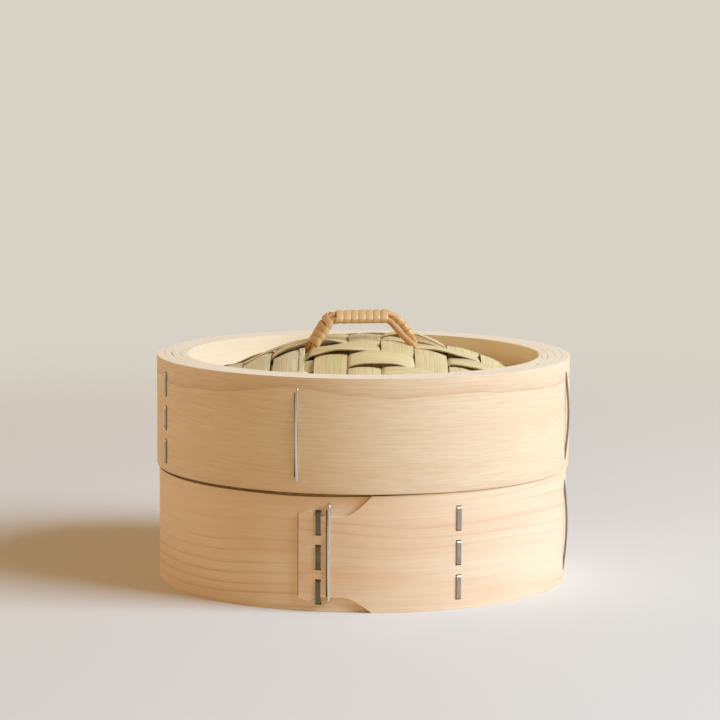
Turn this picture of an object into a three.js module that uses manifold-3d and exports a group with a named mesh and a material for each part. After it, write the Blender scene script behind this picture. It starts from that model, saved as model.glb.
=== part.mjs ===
// A round steamer basket: a bentwood body with a slatted floor, and a lid with a woven dome.
// Millimetres, +Z up, origin in the middle of the base. An azimuth of 0 faces -Y and grows towards +X.
import * as THREE from 'three';
import { mergeVertices } from 'three/addons/utils/BufferGeometryUtils.js';
import Module from 'manifold-3d';

const wasm = await Module();
wasm.setup();

// Rings: boards wound twice round, glued in pairs
const BODY_DIAMETER = 210;
const BODY_HEIGHT = 58;
const LID_HEIGHT = 56.3;
const LID_OVERSIZE = 1.2;
const BOARD = 3.8;
const PLY_GAP = 0.3;
const HOOP_GAP = 0.35;
const SEAT_GAP = 0.3;
const LIP_HEIGHT = 9;
const LIP_HEADROOM = 1;
const SKIRT_DEPTH = 10.5;
const HOOP_FACETS = 48;

// The skived ends of a wound board
const TAIL_EDGE = 0.8;
const SKIVE_ANGLE = 30;
const RUN_IN_ANGLE = 15;
const INNER_LAP_TURN = 180;
const CORNER_SPACING = 1.25;

// The scalloped tail, measured along the board from its end
const TAIL_LENGTH = 36;
const TAIL_END_INSET = 8.3;
const TAIL_HORN_AT = 4.6;
const TAIL_HORN_INSET = 5.8;
const TAIL_WAIST_AT = 10;
const TAIL_WAIST_END = 21;
const TAIL_WAIST_INSET = 8.4;
const TAIL_SHOULDER_STEPS = 5;

// Where the tails, staples and wires sit round each ring, in degrees
const BODY_TAIL_AZIMUTH = -17.2;
const BODY_SEAM_AZIMUTH = 26.5;
const BODY_WIRE_AZIMUTHS = [-8.9, 78.5, 170, -98];
const LID_TAIL_AZIMUTH = -116.4;
const LID_SEAM_AZIMUTH = -69.1;
const LID_WIRE_AZIMUTHS = [-108.1, -17.5, 75, 165];

// Flat staples and long wire staples
const STAPLE_CROWN = 12;
const STAPLE_WIDTH = 2.4;
const STAPLE_THICKNESS = 0.7;
const STAPLE_DEPTH = 6.4;
const STAPLE_SPACING = 17;
const STAPLE_DROP = 1;
const STAPLE_SET_IN = 10;
const STAPLES_IN_COLUMN = 3;
const WIRE_DIAMETER = 1.1;
const WIRE_INSET = 4.9;
const WIRE_SIDES = 6;
const CROWN_GAP = 0.1;
const LEG_CLEARANCE = 0.3;

// Floor
const SLAT_COUNT = 9;
const SLAT_WIDTH = 13;
const SLAT_THICKNESS = 4;
const LEDGE_HEIGHT = 11.5;
const FLOOR_BEARING = 4.6;
const CROSSBAR_WIDTH = 10;
const CROSSBAR_THICKNESS = 4;
const CROSSBAR_OFFSET = 45;
const FIT = 0.3;

// Woven dome
const WARP_COUNT = 11;
const WEFT_COUNT = 10;
const WARP_SHIFT = 1;
const WEFT_SHIFT = -2.55;
const STRIP_GAP = 1.2;
const STRIP_THICKNESS = 0.9;
const STRIP_AIR = 0.35;
const TWILL_REPEAT = 4;
const TWILL_FLOAT = 2;
const TWILL_START = 3;
const DOME_RISE = 19.1;
const RIM_DEPTH = 11.7;
const WEAVE_BEARING = 4.4;

// Handle: the weft strip that carries it, the warp strips right of its feet, then its cane and wrap
const HANDLE_WEFT = 4;
const LEFT_GAP_WARP = 4;
const RIGHT_GAP_WARP = 7;
const CANE_DIAMETER = 3;
const CANE_GAP = 0.4;
const CANE_SIDES = 8;
const CANE_STEPS = 80;
const CANE_HOLE_CLEARANCE = 0.4;
const HANDLE_RISE = 13;
const LEFT_LEAN = 7.8;
const RIGHT_LEAN = 13;
const SHOULDER_EASE = 4;
const ARCH_POINTS = 16;
const LEFT_SPREAD_FROM = 0.85;
const RIGHT_SPREAD_FROM = 0.33;
const HOOK_DROP = 2;
const HOOK_RADIUS = 5;
const HOOK_END_GAP = 1.2;
const LOOP_RADIUS = 4.5;
const LOOP_POINTS = 6;
const WRAP_WIDTH = 2.5;
const WRAP_THICKNESS = 0.6;
const WRAP_CLEARANCE = 0.5;
const WRAP_PITCH = 3.5;
const WRAP_INNER_PITCH = 3.1;
const WRAP_LOOP_STEPS = 16;
const WRAP_SPLIT_LOOP = 10.25;
const WRAP_LOOPS = 13;
const WRAP_FOOT_LENGTH = 6;
const WRAP_FLAT = 0.68;
const WRAP_SQUARENESS = 4;
const ARCH_PROBE = 0.5;

const degrees = THREE.MathUtils.degToRad;
const smooth = (share) => THREE.MathUtils.smoothstep(share, 0, 1);

// Radii and levels that follow from the driving dimensions
const WALL = 2 * BOARD + PLY_GAP;
const bodyRadius = BODY_DIAMETER / 2;
const bodyInnerHoopRadius = bodyRadius - WALL - HOOP_GAP;
const bodyClearRadius = bodyInnerHoopRadius - WALL;
const lidRadius = bodyRadius + LID_OVERSIZE;
const lidInnerHoopRadius = lidRadius - WALL - HOOP_GAP;
const lidClearRadius = lidInnerHoopRadius - WALL;
const lidBottom = BODY_HEIGHT + SEAT_GAP;
const lidTop = lidBottom + LID_HEIGHT;
const ledgeTop = SKIRT_DEPTH + LEDGE_HEIGHT;
const slatBottom = ledgeTop + FIT;
const slatTop = slatBottom + SLAT_THICKNESS;
const lipTop = BODY_HEIGHT + LIP_HEIGHT;
const floorRadius = bodyClearRadius + FLOOR_BEARING;
const crossbarTop = slatBottom - FIT;
const weaveRadius = lidClearRadius + WEAVE_BEARING;
const warpPitch = 2 * weaveRadius / WARP_COUNT;
const weftPitch = 2 * weaveRadius / WEFT_COUNT;
const warpWidth = warpPitch - STRIP_GAP;
const weftWidth = weftPitch - STRIP_GAP;
const strandOffset = (STRIP_THICKNESS + STRIP_AIR) / 2;
const weaveHalf = strandOffset + STRIP_THICKNESS / 2;
const domeEdge = lidTop - RIM_DEPTH;
const domeTop = domeEdge + DOME_RISE;
const domeFall = DOME_RISE / lidClearRadius ** 2;
const domeHeight = (x, y) => domeTop - domeFall * (x * x + y * y);
const chordSag = domeFall * (warpWidth ** 2 + weftWidth ** 2) / 4;
const clampBottom = domeEdge + weaveHalf + FIT;
const bedTop = domeHeight(weaveRadius, 0) - weaveHalf - chordSag - FIT;

// Finishes
const finish = (color, roughness, metalness = 0) =>
  new THREE.MeshStandardMaterial({ color, roughness, metalness, flatShading: true });
const cypress = finish(0xd9b88c, 0.6);
const paleCypress = finish(0xe8d3ae, 0.6);
const bamboo = finish(0xd5c192, 0.5);
const cane = finish(0xbe8a58, 0.5);
const caneSkin = finish(0xdebe8c, 0.4);
const steel = finish(0xb9bab8, 0.3, 1);

// Closed body swept through rings of points, each ring turning left about the way it travels
function loft(rings) {
  const sides = rings[0].length;
  const index = [];
  for (let ring = 0; ring + 1 < rings.length; ring += 1) {
    for (let side = 0; side < sides; side += 1) {
      const here = ring * sides + side;
      const next = ring * sides + ((side + 1) % sides);
      index.push(here, next, next + sides);
      index.push(here, next + sides, here + sides);
    }
  }
  const last = (rings.length - 1) * sides;
  for (let side = 1; side + 1 < sides; side += 1) {
    index.push(0, side + 1, side);
    index.push(last, last + side, last + side + 1);
  }
  const points = rings.flat().flatMap((point) => point.toArray());
  const geometry = new THREE.BufferGeometry();
  geometry.setAttribute('position', new THREE.Float32BufferAttribute(points, 3));
  geometry.setIndex(index);
  return geometry;
}

function solidOf(geometry) {
  const bare = geometry.clone();
  bare.deleteAttribute('normal');
  bare.deleteAttribute('uv');
  const merged = mergeVertices(bare);
  const vertProperties = Float32Array.from(merged.attributes.position.array);
  const triVerts = Uint32Array.from(merged.index.array);
  return new wasm.Manifold(new wasm.Mesh({ numProp: 3, vertProperties, triVerts }));
}

function geometryOf(solid) {
  const mesh = solid.getMesh();
  const geometry = new THREE.BufferGeometry();
  geometry.setAttribute('position', new THREE.BufferAttribute(mesh.vertProperties, 3));
  geometry.setIndex(new THREE.BufferAttribute(mesh.triVerts, 1));
  return geometry;
}

function cut(geometry, cutters) {
  const solid = cutters.reduce((rest, cutter) => rest.subtract(solidOf(cutter)), solidOf(geometry));
  return geometryOf(solid);
}

function named(name, geometry, material, azimuth = 0) {
  const mesh = new THREE.Mesh(geometry, material);
  mesh.name = name;
  mesh.rotation.z = degrees(azimuth);
  return mesh;
}

const polar = (radius, azimuth, z) =>
  new THREE.Vector3(radius * Math.sin(degrees(azimuth)), -radius * Math.cos(degrees(azimuth)), z);

// How far the tail's long edges are drawn in, at a length along the board from its end
function tailInset(along) {
  if (along < TAIL_HORN_AT) {
    return THREE.MathUtils.lerp(TAIL_END_INSET, TAIL_HORN_INSET, along / TAIL_HORN_AT);
  }
  if (along < TAIL_WAIST_AT) {
    const share = (along - TAIL_HORN_AT) / (TAIL_WAIST_AT - TAIL_HORN_AT);
    return THREE.MathUtils.lerp(TAIL_HORN_INSET, TAIL_WAIST_INSET, share);
  }
  if (along < TAIL_WAIST_END) {
    return TAIL_WAIST_INSET;
  }
  const share = Math.min((along - TAIL_WAIST_END) / (TAIL_LENGTH - TAIL_WAIST_END), 1);
  return TAIL_WAIST_INSET * Math.cos(share * Math.PI / 2);
}

// Angles from the tail's end at which a wound board has corners: an even grid, and the tail's own points
function boardStations(radius, tailAzimuth, scalloped) {
  const stepAngle = 360 / HOOP_FACETS;
  const shoulder = (TAIL_LENGTH - TAIL_WAIST_END) / TAIL_SHOULDER_STEPS;
  const alongs = [0];
  if (scalloped) {
    alongs.push(TAIL_HORN_AT, TAIL_WAIST_AT);
    for (let step = 0; step <= TAIL_SHOULDER_STEPS; step += 1) {
      alongs.push(TAIL_WAIST_END + step * shoulder);
    }
  }
  const tailAngles = alongs.map((along) => THREE.MathUtils.radToDeg(along / radius));
  const special = [...tailAngles, SKIVE_ANGLE];
  const grid = Array.from({ length: HOOP_FACETS }, (_, facet) =>
    THREE.MathUtils.euclideanModulo(facet * stepAngle - tailAzimuth, 360));
  const apart = (angle) => special.every((other) => {
    const difference = Math.abs(angle - other);
    return Math.min(difference, 360 - difference) > CORNER_SPACING;
  });
  return [...special, ...grid.filter(apart)].sort((a, b) => a - b);
}

// A board wound twice round. Its outer end is skived to a tail, its inner end to a feather,
// so that the hoop is round inside and out and the glue line between the plies is one spiral.
function woundBoard({ radius, low, high, tailAzimuth, scalloped }) {
  const gapHalf = PLY_GAP / 2;
  const firstSeam = TAIL_EDGE + gapHalf;
  const middle = BOARD + gapHalf;
  const endStep = TAIL_EDGE + PLY_GAP;
  const seamDepth = (angle) => (angle < 360
    ? firstSeam + (middle - firstSeam) * smooth(angle / SKIVE_ANGLE)
    : middle + (middle - firstSeam) * smooth((angle - 360) / SKIVE_ANGLE));
  const outerDepth = (angle) => (angle < 360
    ? endStep * smooth((angle - 360 + RUN_IN_ANGLE) / RUN_IN_ANGLE)
    : seamDepth(angle - 360) + gapHalf);
  const innerDepth = (angle) => (angle <= 360 + SKIVE_ANGLE
    ? seamDepth(angle) - gapHalf
    : WALL - endStep * (1 - smooth((angle - 360 - SKIVE_ANGLE) / RUN_IN_ANGLE)));

  const turn = boardStations(radius, tailAzimuth, scalloped);
  const feather = turn.filter((angle) => angle <= SKIVE_ANGLE);
  const angles = [turn, turn, feather].flatMap((part, turns) => part.map((angle) => angle + 360 * turns));
  const rings = angles.map((angle) => {
    const inset = scalloped ? tailInset(degrees(angle) * radius) : 0;
    const outer = radius - outerDepth(angle);
    const inner = radius - innerDepth(angle);
    const azimuth = tailAzimuth + angle;
    return [
      polar(outer, azimuth, low + inset),
      polar(inner, azimuth, low + inset),
      polar(inner, azimuth, high - inset),
      polar(outer, azimuth, high - inset),
    ];
  });
  return loft(rings);
}

// Box in the frame of a fastener, which faces -Y: depths are measured inwards from the ring's outside
function legHole(radius, azimuth, z, { width, height, from, to }) {
  const box = new THREE.BoxGeometry(width, to - from, height);
  box.translate(0, -radius + (from + to) / 2, z);
  box.rotateZ(degrees(azimuth));
  return box;
}

// Flat staple: a crown lying on the ring with two legs driven into its plies
function stapleGeometry(radius, z) {
  const inside = radius + CROWN_GAP;
  const outside = inside + STAPLE_THICKNESS;
  const point = radius - STAPLE_DEPTH;
  const half = STAPLE_CROWN / 2;
  const legInside = half - STAPLE_THICKNESS;
  const outline = new THREE.Shape([
    new THREE.Vector2(point, -half),
    new THREE.Vector2(outside, -half),
    new THREE.Vector2(outside, half),
    new THREE.Vector2(point, half),
    new THREE.Vector2(point, legInside),
    new THREE.Vector2(inside, legInside),
    new THREE.Vector2(inside, -legInside),
    new THREE.Vector2(point, -legInside),
  ]);
  const geometry = new THREE.ExtrudeGeometry(outline, { depth: STAPLE_WIDTH, bevelEnabled: false });
  geometry.translate(0, z, -STAPLE_WIDTH / 2);
  const facing = new THREE.Matrix4().makeBasis(
    new THREE.Vector3(0, -1, 0),
    new THREE.Vector3(0, 0, 1),
    new THREE.Vector3(-1, 0, 0),
  );
  return geometry.applyMatrix4(facing);
}

function stapleHoles(radius, azimuth, z) {
  const legMiddle = (STAPLE_CROWN - STAPLE_THICKNESS) / 2;
  const hole = {
    width: STAPLE_WIDTH + 2 * LEG_CLEARANCE,
    height: STAPLE_THICKNESS + 2 * LEG_CLEARANCE,
    from: -STAPLE_THICKNESS,
    to: STAPLE_DEPTH + LEG_CLEARANCE,
  };
  return [legMiddle, -legMiddle].map((side) => legHole(radius, azimuth, z + side, hole));
}

// Long round wire: its upper leg goes through both hoops, its lower leg through the outer one
function wireGeometry(radius, clearRadius, zTop, zBottom) {
  const wire = WIRE_DIAMETER / 2;
  const run = radius + CROWN_GAP + wire;
  const ring = (out, z, outward, upward) => Array.from({ length: WIRE_SIDES }, (_, side) => {
    const angle = 2 * Math.PI * side / WIRE_SIDES;
    const across = wire * Math.cos(angle);
    const away = wire * Math.sin(angle);
    return new THREE.Vector3(across, -(out + outward * away), z + upward * away);
  });
  return loft([
    ring(clearRadius + LEG_CLEARANCE, zTop, 0, 1),
    ring(run, zTop, 1, 1),
    ring(run, zBottom, 1, -1),
    ring(radius - WALL + LEG_CLEARANCE, zBottom, 0, -1),
  ]);
}

function wireHole(radius, azimuth, z, from, to) {
  const side = WIRE_DIAMETER + 2 * LEG_CLEARANCE;
  return legHole(radius, azimuth, z, { width: side, height: side, from, to });
}

// One ring of the basket with its fasteners: outer hoop, inner hoop that the wires reach, staples and wires
function fastenedRing({ prefix, radius, low, high, tailAzimuth, seamAzimuth, wireAzimuths, innerHoop }) {
  const middle = (low + high) / 2 - STAPLE_DROP;
  const tailStaple = tailAzimuth + THREE.MathUtils.radToDeg(STAPLE_SET_IN / radius);
  const columns = [['tail', tailStaple], ['seam', seamAzimuth]];
  const innerCuts = [];
  const outerCuts = [];
  const fasteners = [];
  columns.forEach(([column, azimuth]) => {
    for (let place = 0; place < STAPLES_IN_COLUMN; place += 1) {
      const z = middle + STAPLE_SPACING * ((STAPLES_IN_COLUMN - 1) / 2 - place);
      const name = `${prefix}_${column}_staple_${place + 1}`;
      fasteners.push(named(name, stapleGeometry(radius, z), steel, azimuth));
      outerCuts.push(...stapleHoles(radius, azimuth, z));
    }
  });
  const zTop = high - WIRE_INSET;
  const zBottom = low + WIRE_INSET;
  const clearRadius = innerHoop.radius - WALL;
  wireAzimuths.forEach((azimuth, place) => {
    const geometry = wireGeometry(radius, clearRadius, zTop, zBottom);
    fasteners.push(named(`${prefix}_wire_${place + 1}`, geometry, steel, azimuth));
    const outerDepth = WALL + HOOP_GAP + WIRE_DIAMETER;
    outerCuts.push(wireHole(radius, azimuth, zTop, -WIRE_DIAMETER, outerDepth));
    outerCuts.push(wireHole(radius, azimuth, zBottom, -WIRE_DIAMETER, outerDepth));
    innerCuts.push(wireHole(radius, azimuth, zTop, WALL, WALL + outerDepth));
  });
  const outer = woundBoard({ radius, low, high, tailAzimuth, scalloped: true });
  const inner = woundBoard(innerHoop);
  const ring = new THREE.Group();
  ring.add(named(`${prefix}_outer_hoop`, cut(outer, outerCuts), cypress));
  ring.add(named(`${prefix}_upper_hoop`, cut(inner, innerCuts), paleCypress));
  ring.add(...fasteners);
  return ring;
}

// Floor slats, with ends rounded to the ring, on two crossbars let into the ledge
function slatGeometry(offset) {
  const near = offset - SLAT_WIDTH / 2;
  const far = offset + SLAT_WIDTH / 2;
  const outline = new THREE.Shape();
  outline.absarc(0, 0, floorRadius, Math.asin(near / floorRadius), Math.asin(far / floorRadius), false);
  outline.absarc(0, 0, floorRadius, Math.PI - Math.asin(far / floorRadius),
    Math.PI - Math.asin(near / floorRadius), false);
  const settings = { depth: SLAT_THICKNESS, bevelEnabled: false, curveSegments: 4 };
  return new THREE.ExtrudeGeometry(outline, settings).translate(0, 0, slatBottom);
}

function crossbarBox(x, spare) {
  const reach = Math.sqrt(floorRadius ** 2 - (CROSSBAR_OFFSET + CROSSBAR_WIDTH / 2) ** 2);
  const height = CROSSBAR_THICKNESS + spare;
  const box = new THREE.BoxGeometry(CROSSBAR_WIDTH + 2 * spare, 2 * (reach + spare), height);
  return box.translate(x, 0, crossbarTop - CROSSBAR_THICKNESS - spare + height / 2);
}

function floor() {
  const group = new THREE.Group();
  const pitch = (2 * floorRadius - SLAT_WIDTH - 2 * FLOOR_BEARING) / (SLAT_COUNT - 1);
  for (let place = 0; place < SLAT_COUNT; place += 1) {
    const offset = pitch * (place - (SLAT_COUNT - 1) / 2);
    group.add(named(`floor_slat_${place + 1}`, slatGeometry(offset), bamboo));
  }
  const sides = [['left', -CROSSBAR_OFFSET], ['right', CROSSBAR_OFFSET]];
  const notches = sides.map(([, x]) => crossbarBox(x, FIT).translate(0, 0, FIT));
  sides.forEach(([side, x]) => group.add(named(`floor_crossbar_${side}`, crossbarBox(x, 0), bamboo)));
  const ledge = woundBoard({
    radius: bodyInnerHoopRadius,
    low: SKIRT_DEPTH,
    high: ledgeTop,
    tailAzimuth: BODY_TAIL_AZIMUTH + INNER_LAP_TURN,
    scalloped: false,
  });
  group.add(named('body_lower_hoop', cut(ledge, notches), paleCypress));
  return group;
}

// Weave: where the strips lie, and which of the two is on top at a crossing
const warpAt = (place) => warpPitch * (place - (WARP_COUNT - 1) / 2) + WARP_SHIFT;
const weftAt = (place) => weftPitch * (place - (WEFT_COUNT - 1) / 2) + WEFT_SHIFT;
const warpOnTop = (warp, weft) => (warp + weft + TWILL_START) % TWILL_REPEAT < TWILL_FLOAT;

// Strip bent over the dome, going over and under the strips that cross it. The dome is the sum of a
// curve in X and one in Y, so both strips are flat and parallel where they cross.
function stripRings({ middle, width, crossings, crossingWidth, level, ring }) {
  return crossings.flatMap((crossing, place) => {
    const lift = level(place) * strandOffset;
    return [-1, 1].map((side) => {
      const along = crossing + side * crossingWidth / 2;
      return ring(middle - width / 2, middle + width / 2, along, lift);
    });
  });
}

function warpGeometry(warp) {
  const half = STRIP_THICKNESS / 2;
  const ring = (left, right, y, lift) => [
    new THREE.Vector3(right, y, domeHeight(right, y) + lift - half),
    new THREE.Vector3(left, y, domeHeight(left, y) + lift - half),
    new THREE.Vector3(left, y, domeHeight(left, y) + lift + half),
    new THREE.Vector3(right, y, domeHeight(right, y) + lift + half),
  ];
  return loft(stripRings({
    middle: warpAt(warp),
    width: warpWidth,
    crossings: Array.from({ length: WEFT_COUNT }, (_, weft) => weftAt(weft)),
    crossingWidth: weftWidth,
    level: (weft) => (warpOnTop(warp, weft) ? 1 : -1),
    ring,
  }));
}

function weftGeometry(weft) {
  const half = STRIP_THICKNESS / 2;
  const ring = (near, far, x, lift) => [
    new THREE.Vector3(x, near, domeHeight(x, near) + lift - half),
    new THREE.Vector3(x, far, domeHeight(x, far) + lift - half),
    new THREE.Vector3(x, far, domeHeight(x, far) + lift + half),
    new THREE.Vector3(x, near, domeHeight(x, near) + lift + half),
  ];
  return loft(stripRings({
    middle: weftAt(weft),
    width: weftWidth,
    crossings: Array.from({ length: WARP_COUNT }, (_, warp) => warpAt(warp)),
    crossingWidth: warpWidth,
    level: (warp) => (warpOnTop(warp, weft) ? -1 : 1),
    ring,
  }));
}

// Handle: both runs of the cane enter the weave at one gap on the left and straddle a weft strip on the right
const handleY = weftAt(HANDLE_WEFT);
const leftFootX = warpAt(LEFT_GAP_WARP) - warpPitch / 2;
const rightFootX = warpAt(RIGHT_GAP_WARP) - warpPitch / 2;
const rightFootSpread = weftPitch / 2;
const laneHalf = (CANE_DIAMETER + CANE_GAP) / 2;
const leftFootSpread = laneHalf + CANE_HOLE_CLEARANCE;
const onDome = (x, y) => new THREE.Vector3(x, y, domeHeight(x, y));
const rightFoot = onDome(rightFootX, handleY);
const leftFoot = onDome(leftFootX, handleY - weftPitch / 2);
const towards = (from, to, distance) =>
  from.clone().addScaledVector(to.clone().sub(from).normalize(), distance);

// Middle line of the handle, from its right foot to its left one: two straight legs and a flat top
function handleArch() {
  const run = leftFoot.clone().sub(rightFoot).setZ(0).normalize();
  const raised = (foot, lean) => foot.clone().addScaledVector(run, lean).setZ(domeTop + HANDLE_RISE);
  const rightShoulder = raised(rightFoot, RIGHT_LEAN);
  const leftShoulder = raised(leftFoot, -LEFT_LEAN);
  const bend = (before, shoulder, after) => new THREE.QuadraticBezierCurve3(
    towards(shoulder, before, SHOULDER_EASE), shoulder, towards(shoulder, after, SHOULDER_EASE));
  const rightBend = bend(rightFoot, rightShoulder, leftShoulder);
  const leftBend = bend(rightShoulder, leftShoulder, leftFoot);
  const path = new THREE.CurvePath();
  path.add(new THREE.LineCurve3(rightFoot, rightBend.v0));
  path.add(rightBend);
  path.add(new THREE.LineCurve3(rightBend.v2, leftBend.v0));
  path.add(leftBend);
  path.add(new THREE.LineCurve3(leftBend.v2, leftFoot));
  return path;
}

const arch = handleArch();
const archLength = arch.getLength();

// Travel from left to right, and the two directions square to it: away from the arch, and to the back
function archFrame(share) {
  const travel = arch.getTangent(share).negate();
  const sideways = new THREE.Vector3(-travel.y, travel.x, 0).normalize();
  const outward = new THREE.Vector3().crossVectors(travel, sideways);
  return { travel, sideways, outward };
}

// From the middle line to the upper run of the cane, which lies behind; the lower run lies opposite.
// The runs are bound together on top, part over the right leg, and stand side by side at the left foot.
function runOffset(share) {
  const { sideways, outward } = archFrame(share);
  const bound = outward.add(sideways).setLength(laneHalf);
  const left = share > RIGHT_SPREAD_FROM;
  const foot = left ? new THREE.Vector3(-leftFootSpread, 0, 0) : new THREE.Vector3(0, rightFootSpread, 0);
  const opened = left
    ? smooth((share - LEFT_SPREAD_FROM) / (1 - LEFT_SPREAD_FROM))
    : smooth((RIGHT_SPREAD_FROM - share) / RIGHT_SPREAD_FROM);
  return bound.lerp(foot, opened);
}

// The cane: up from a hook under the weave, along the arch, round a loop under the left foot, and back
function canePath() {
  const shares = Array.from({ length: ARCH_POINTS + 1 }, (_, step) => step / ARCH_POINTS);
  const run = (sign) => shares.map((share) => arch.getPoint(share).addScaledVector(runOffset(share), sign));
  const hook = (sign) => {
    const top = rightFoot.z - HOOK_DROP;
    const bends = [1, 0.5, 0].map((share) => new THREE.Vector3(
      rightFoot.x,
      sign * (rightFootSpread - HOOK_RADIUS + HOOK_RADIUS * Math.cos(Math.PI * share / 2)),
      top - HOOK_RADIUS * Math.sin(Math.PI * share / 2),
    ));
    const end = new THREE.Vector3(rightFoot.x, sign * HOOK_END_GAP, top - HOOK_RADIUS);
    return [end, ...bends].map((point) => point.setY(point.y + handleY));
  };
  const neck = Math.asin(leftFootSpread / LOOP_RADIUS);
  const loopMiddle = leftFoot.z - HOOK_DROP - LOOP_RADIUS * Math.cos(neck);
  const loop = Array.from({ length: LOOP_POINTS + 1 }, (_, step) => {
    const angle = neck + 2 * (Math.PI - neck) * step / LOOP_POINTS;
    return new THREE.Vector3(
      leftFoot.x + LOOP_RADIUS * Math.sin(angle), leftFoot.y, loopMiddle + LOOP_RADIUS * Math.cos(angle));
  });
  const points = [...hook(-1), ...run(-1), ...loop, ...run(1).reverse(), ...hook(1).reverse()];
  return new THREE.CatmullRomCurve3(points, false, 'centripetal');
}

function caneTube(path, radius) {
  const section = new THREE.Shape();
  section.absarc(0, 0, radius, 0, 2 * Math.PI, false);
  const settings = { steps: CANE_STEPS, extrudePath: path, curveSegments: CANE_SIDES / 2, bevelEnabled: false };
  return new THREE.ExtrudeGeometry(section, settings);
}

// Middle line and outward direction of the wound strip, from the left foot: round both runs of the cane,
// then round the upper one alone
function wrapFrames() {
  const reach = CANE_DIAMETER / 2 + WRAP_CLEARANCE + WRAP_THICKNESS / 2;
  const innerReach = reach + laneHalf;
  const probe = ARCH_PROBE / archLength;
  const bendAt = (share) => archFrame(share - probe).travel.angleTo(archFrame(share + probe).travel)
    / (2 * ARCH_PROBE);
  const frames = [];
  let share = 1 - WRAP_FOOT_LENGTH / archLength;
  for (let step = 0; step <= WRAP_LOOPS * WRAP_LOOP_STEPS; step += 1) {
    const loops = step / WRAP_LOOP_STEPS;
    const angle = 2 * Math.PI * loops;
    const { sideways, outward } = archFrame(share);
    const away = outward.clone().multiplyScalar(Math.cos(angle)).addScaledVector(sideways, Math.sin(angle));
    const offset = runOffset(share);
    const parting = runOffset(share - probe).sub(runOffset(share + probe)).divideScalar(2 * ARCH_PROBE);
    const side = away.dot(offset) / offset.length();
    const stretch = Math.tanh(WRAP_SQUARENESS * side) / Math.tanh(WRAP_SQUARENESS);
    const point = arch.getPoint(share)
      .addScaledVector(offset, loops > WRAP_SPLIT_LOOP ? 1 : stretch)
      .addScaledVector(away, reach * Math.hypot(1, parting.dot(away)));
    frames.push({ point, away });
    const pitch = Math.max(WRAP_PITCH, WRAP_INNER_PITCH / (1 - innerReach * bendAt(share)));
    share -= pitch / WRAP_LOOP_STEPS / archLength;
  }
  return frames;
}

function wrapRings() {
  const frames = wrapFrames();
  const last = frames.length - 1;
  const wayAt = (step) => frames[Math.min(step + 1, last)].point.clone()
    .sub(frames[Math.max(step - 1, 0)].point).normalize();
  const flat = WRAP_FLAT * WRAP_WIDTH / 2;
  const edge = WRAP_WIDTH / 2;
  const face = WRAP_THICKNESS / 2;
  const section = [[-edge, 0], [-flat, -face], [flat, -face], [edge, 0], [flat, face], [-flat, face]];
  const ringAt = (point, away, way) => {
    const across = new THREE.Vector3().crossVectors(away, way).normalize();
    const square = new THREE.Vector3().crossVectors(way, across);
    return section.map(([wide, thick]) => point.clone()
      .addScaledVector(across, wide)
      .addScaledVector(square, thick));
  };
  const rings = frames.map(({ point, away }, step) => ringAt(point, away, wayAt(step)));
  const straight = (step, sign) => {
    const way = wayAt(step);
    const end = frames[step].point.clone().addScaledVector(way, sign * WRAP_WIDTH);
    return ringAt(end, frames[step].away, way);
  };
  return [straight(0, -1), ...rings, straight(last, 1)];
}

// Least distance between points on loops that lie beside each other
function leastGap(rings) {
  const half = WRAP_LOOP_STEPS / 2;
  const pointsOf = (ring) => ring.flatMap((corner, side) => {
    const next = ring[(side + 1) % ring.length];
    return [corner, corner.clone().lerp(next, 1 / 3), corner.clone().lerp(next, 2 / 3)];
  });
  const dense = rings.map(pointsOf);
  let least = Infinity;
  dense.forEach((ring, step) => {
    for (let other = step + half; other < Math.min(step + 3 * half, dense.length); other += 1) {
      ring.forEach((a) => dense[other].forEach((b) => {
        least = Math.min(least, a.distanceTo(b));
      }));
    }
  });
  return least;
}

function lidTopPieces() {
  const group = new THREE.Group();
  const path = canePath();
  const holes = solidOf(caneTube(path, CANE_DIAMETER / 2 + CANE_HOLE_CLEARANCE));
  const disc = new THREE.CylinderGeometry(weaveRadius, weaveRadius, 4 * domeTop, HOOP_FACETS);
  const trim = solidOf(disc.rotateX(Math.PI / 2));
  const trimmed = (geometry) => geometryOf(solidOf(geometry).intersect(trim).subtract(holes));
  for (let warp = 0; warp < WARP_COUNT; warp += 1) {
    group.add(named(`weave_warp_${warp + 1}`, trimmed(warpGeometry(warp)), bamboo));
  }
  for (let weft = 0; weft < WEFT_COUNT; weft += 1) {
    group.add(named(`weave_weft_${weft + 1}`, trimmed(weftGeometry(weft)), bamboo));
  }
  const rings = wrapRings();
  console.log(`handle_wrap: ${WRAP_LOOPS} loops, least gap to itself ${leastGap(rings).toFixed(2)} mm`);
  group.add(named('handle_core', caneTube(path, CANE_DIAMETER / 2), cane));
  group.add(named('handle_wrap', loft(rings), caneSkin));
  group.add(named('lid_lower_hoop', woundBoard({
    radius: lidInnerHoopRadius,
    low: lipTop + LIP_HEADROOM,
    high: bedTop,
    tailAzimuth: LID_TAIL_AZIMUTH + INNER_LAP_TURN,
    scalloped: false,
  }), paleCypress));
  return group;
}

const basket = new THREE.Group();
basket.name = 'basket';
basket.add(fastenedRing({
  prefix: 'body',
  radius: bodyRadius,
  low: 0,
  high: BODY_HEIGHT,
  tailAzimuth: BODY_TAIL_AZIMUTH,
  seamAzimuth: BODY_SEAM_AZIMUTH,
  wireAzimuths: BODY_WIRE_AZIMUTHS,
  innerHoop: {
    radius: bodyInnerHoopRadius,
    low: slatTop + FIT,
    high: lipTop,
    tailAzimuth: BODY_TAIL_AZIMUTH + INNER_LAP_TURN,
    scalloped: false,
  },
}));
basket.add(floor());

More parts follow.
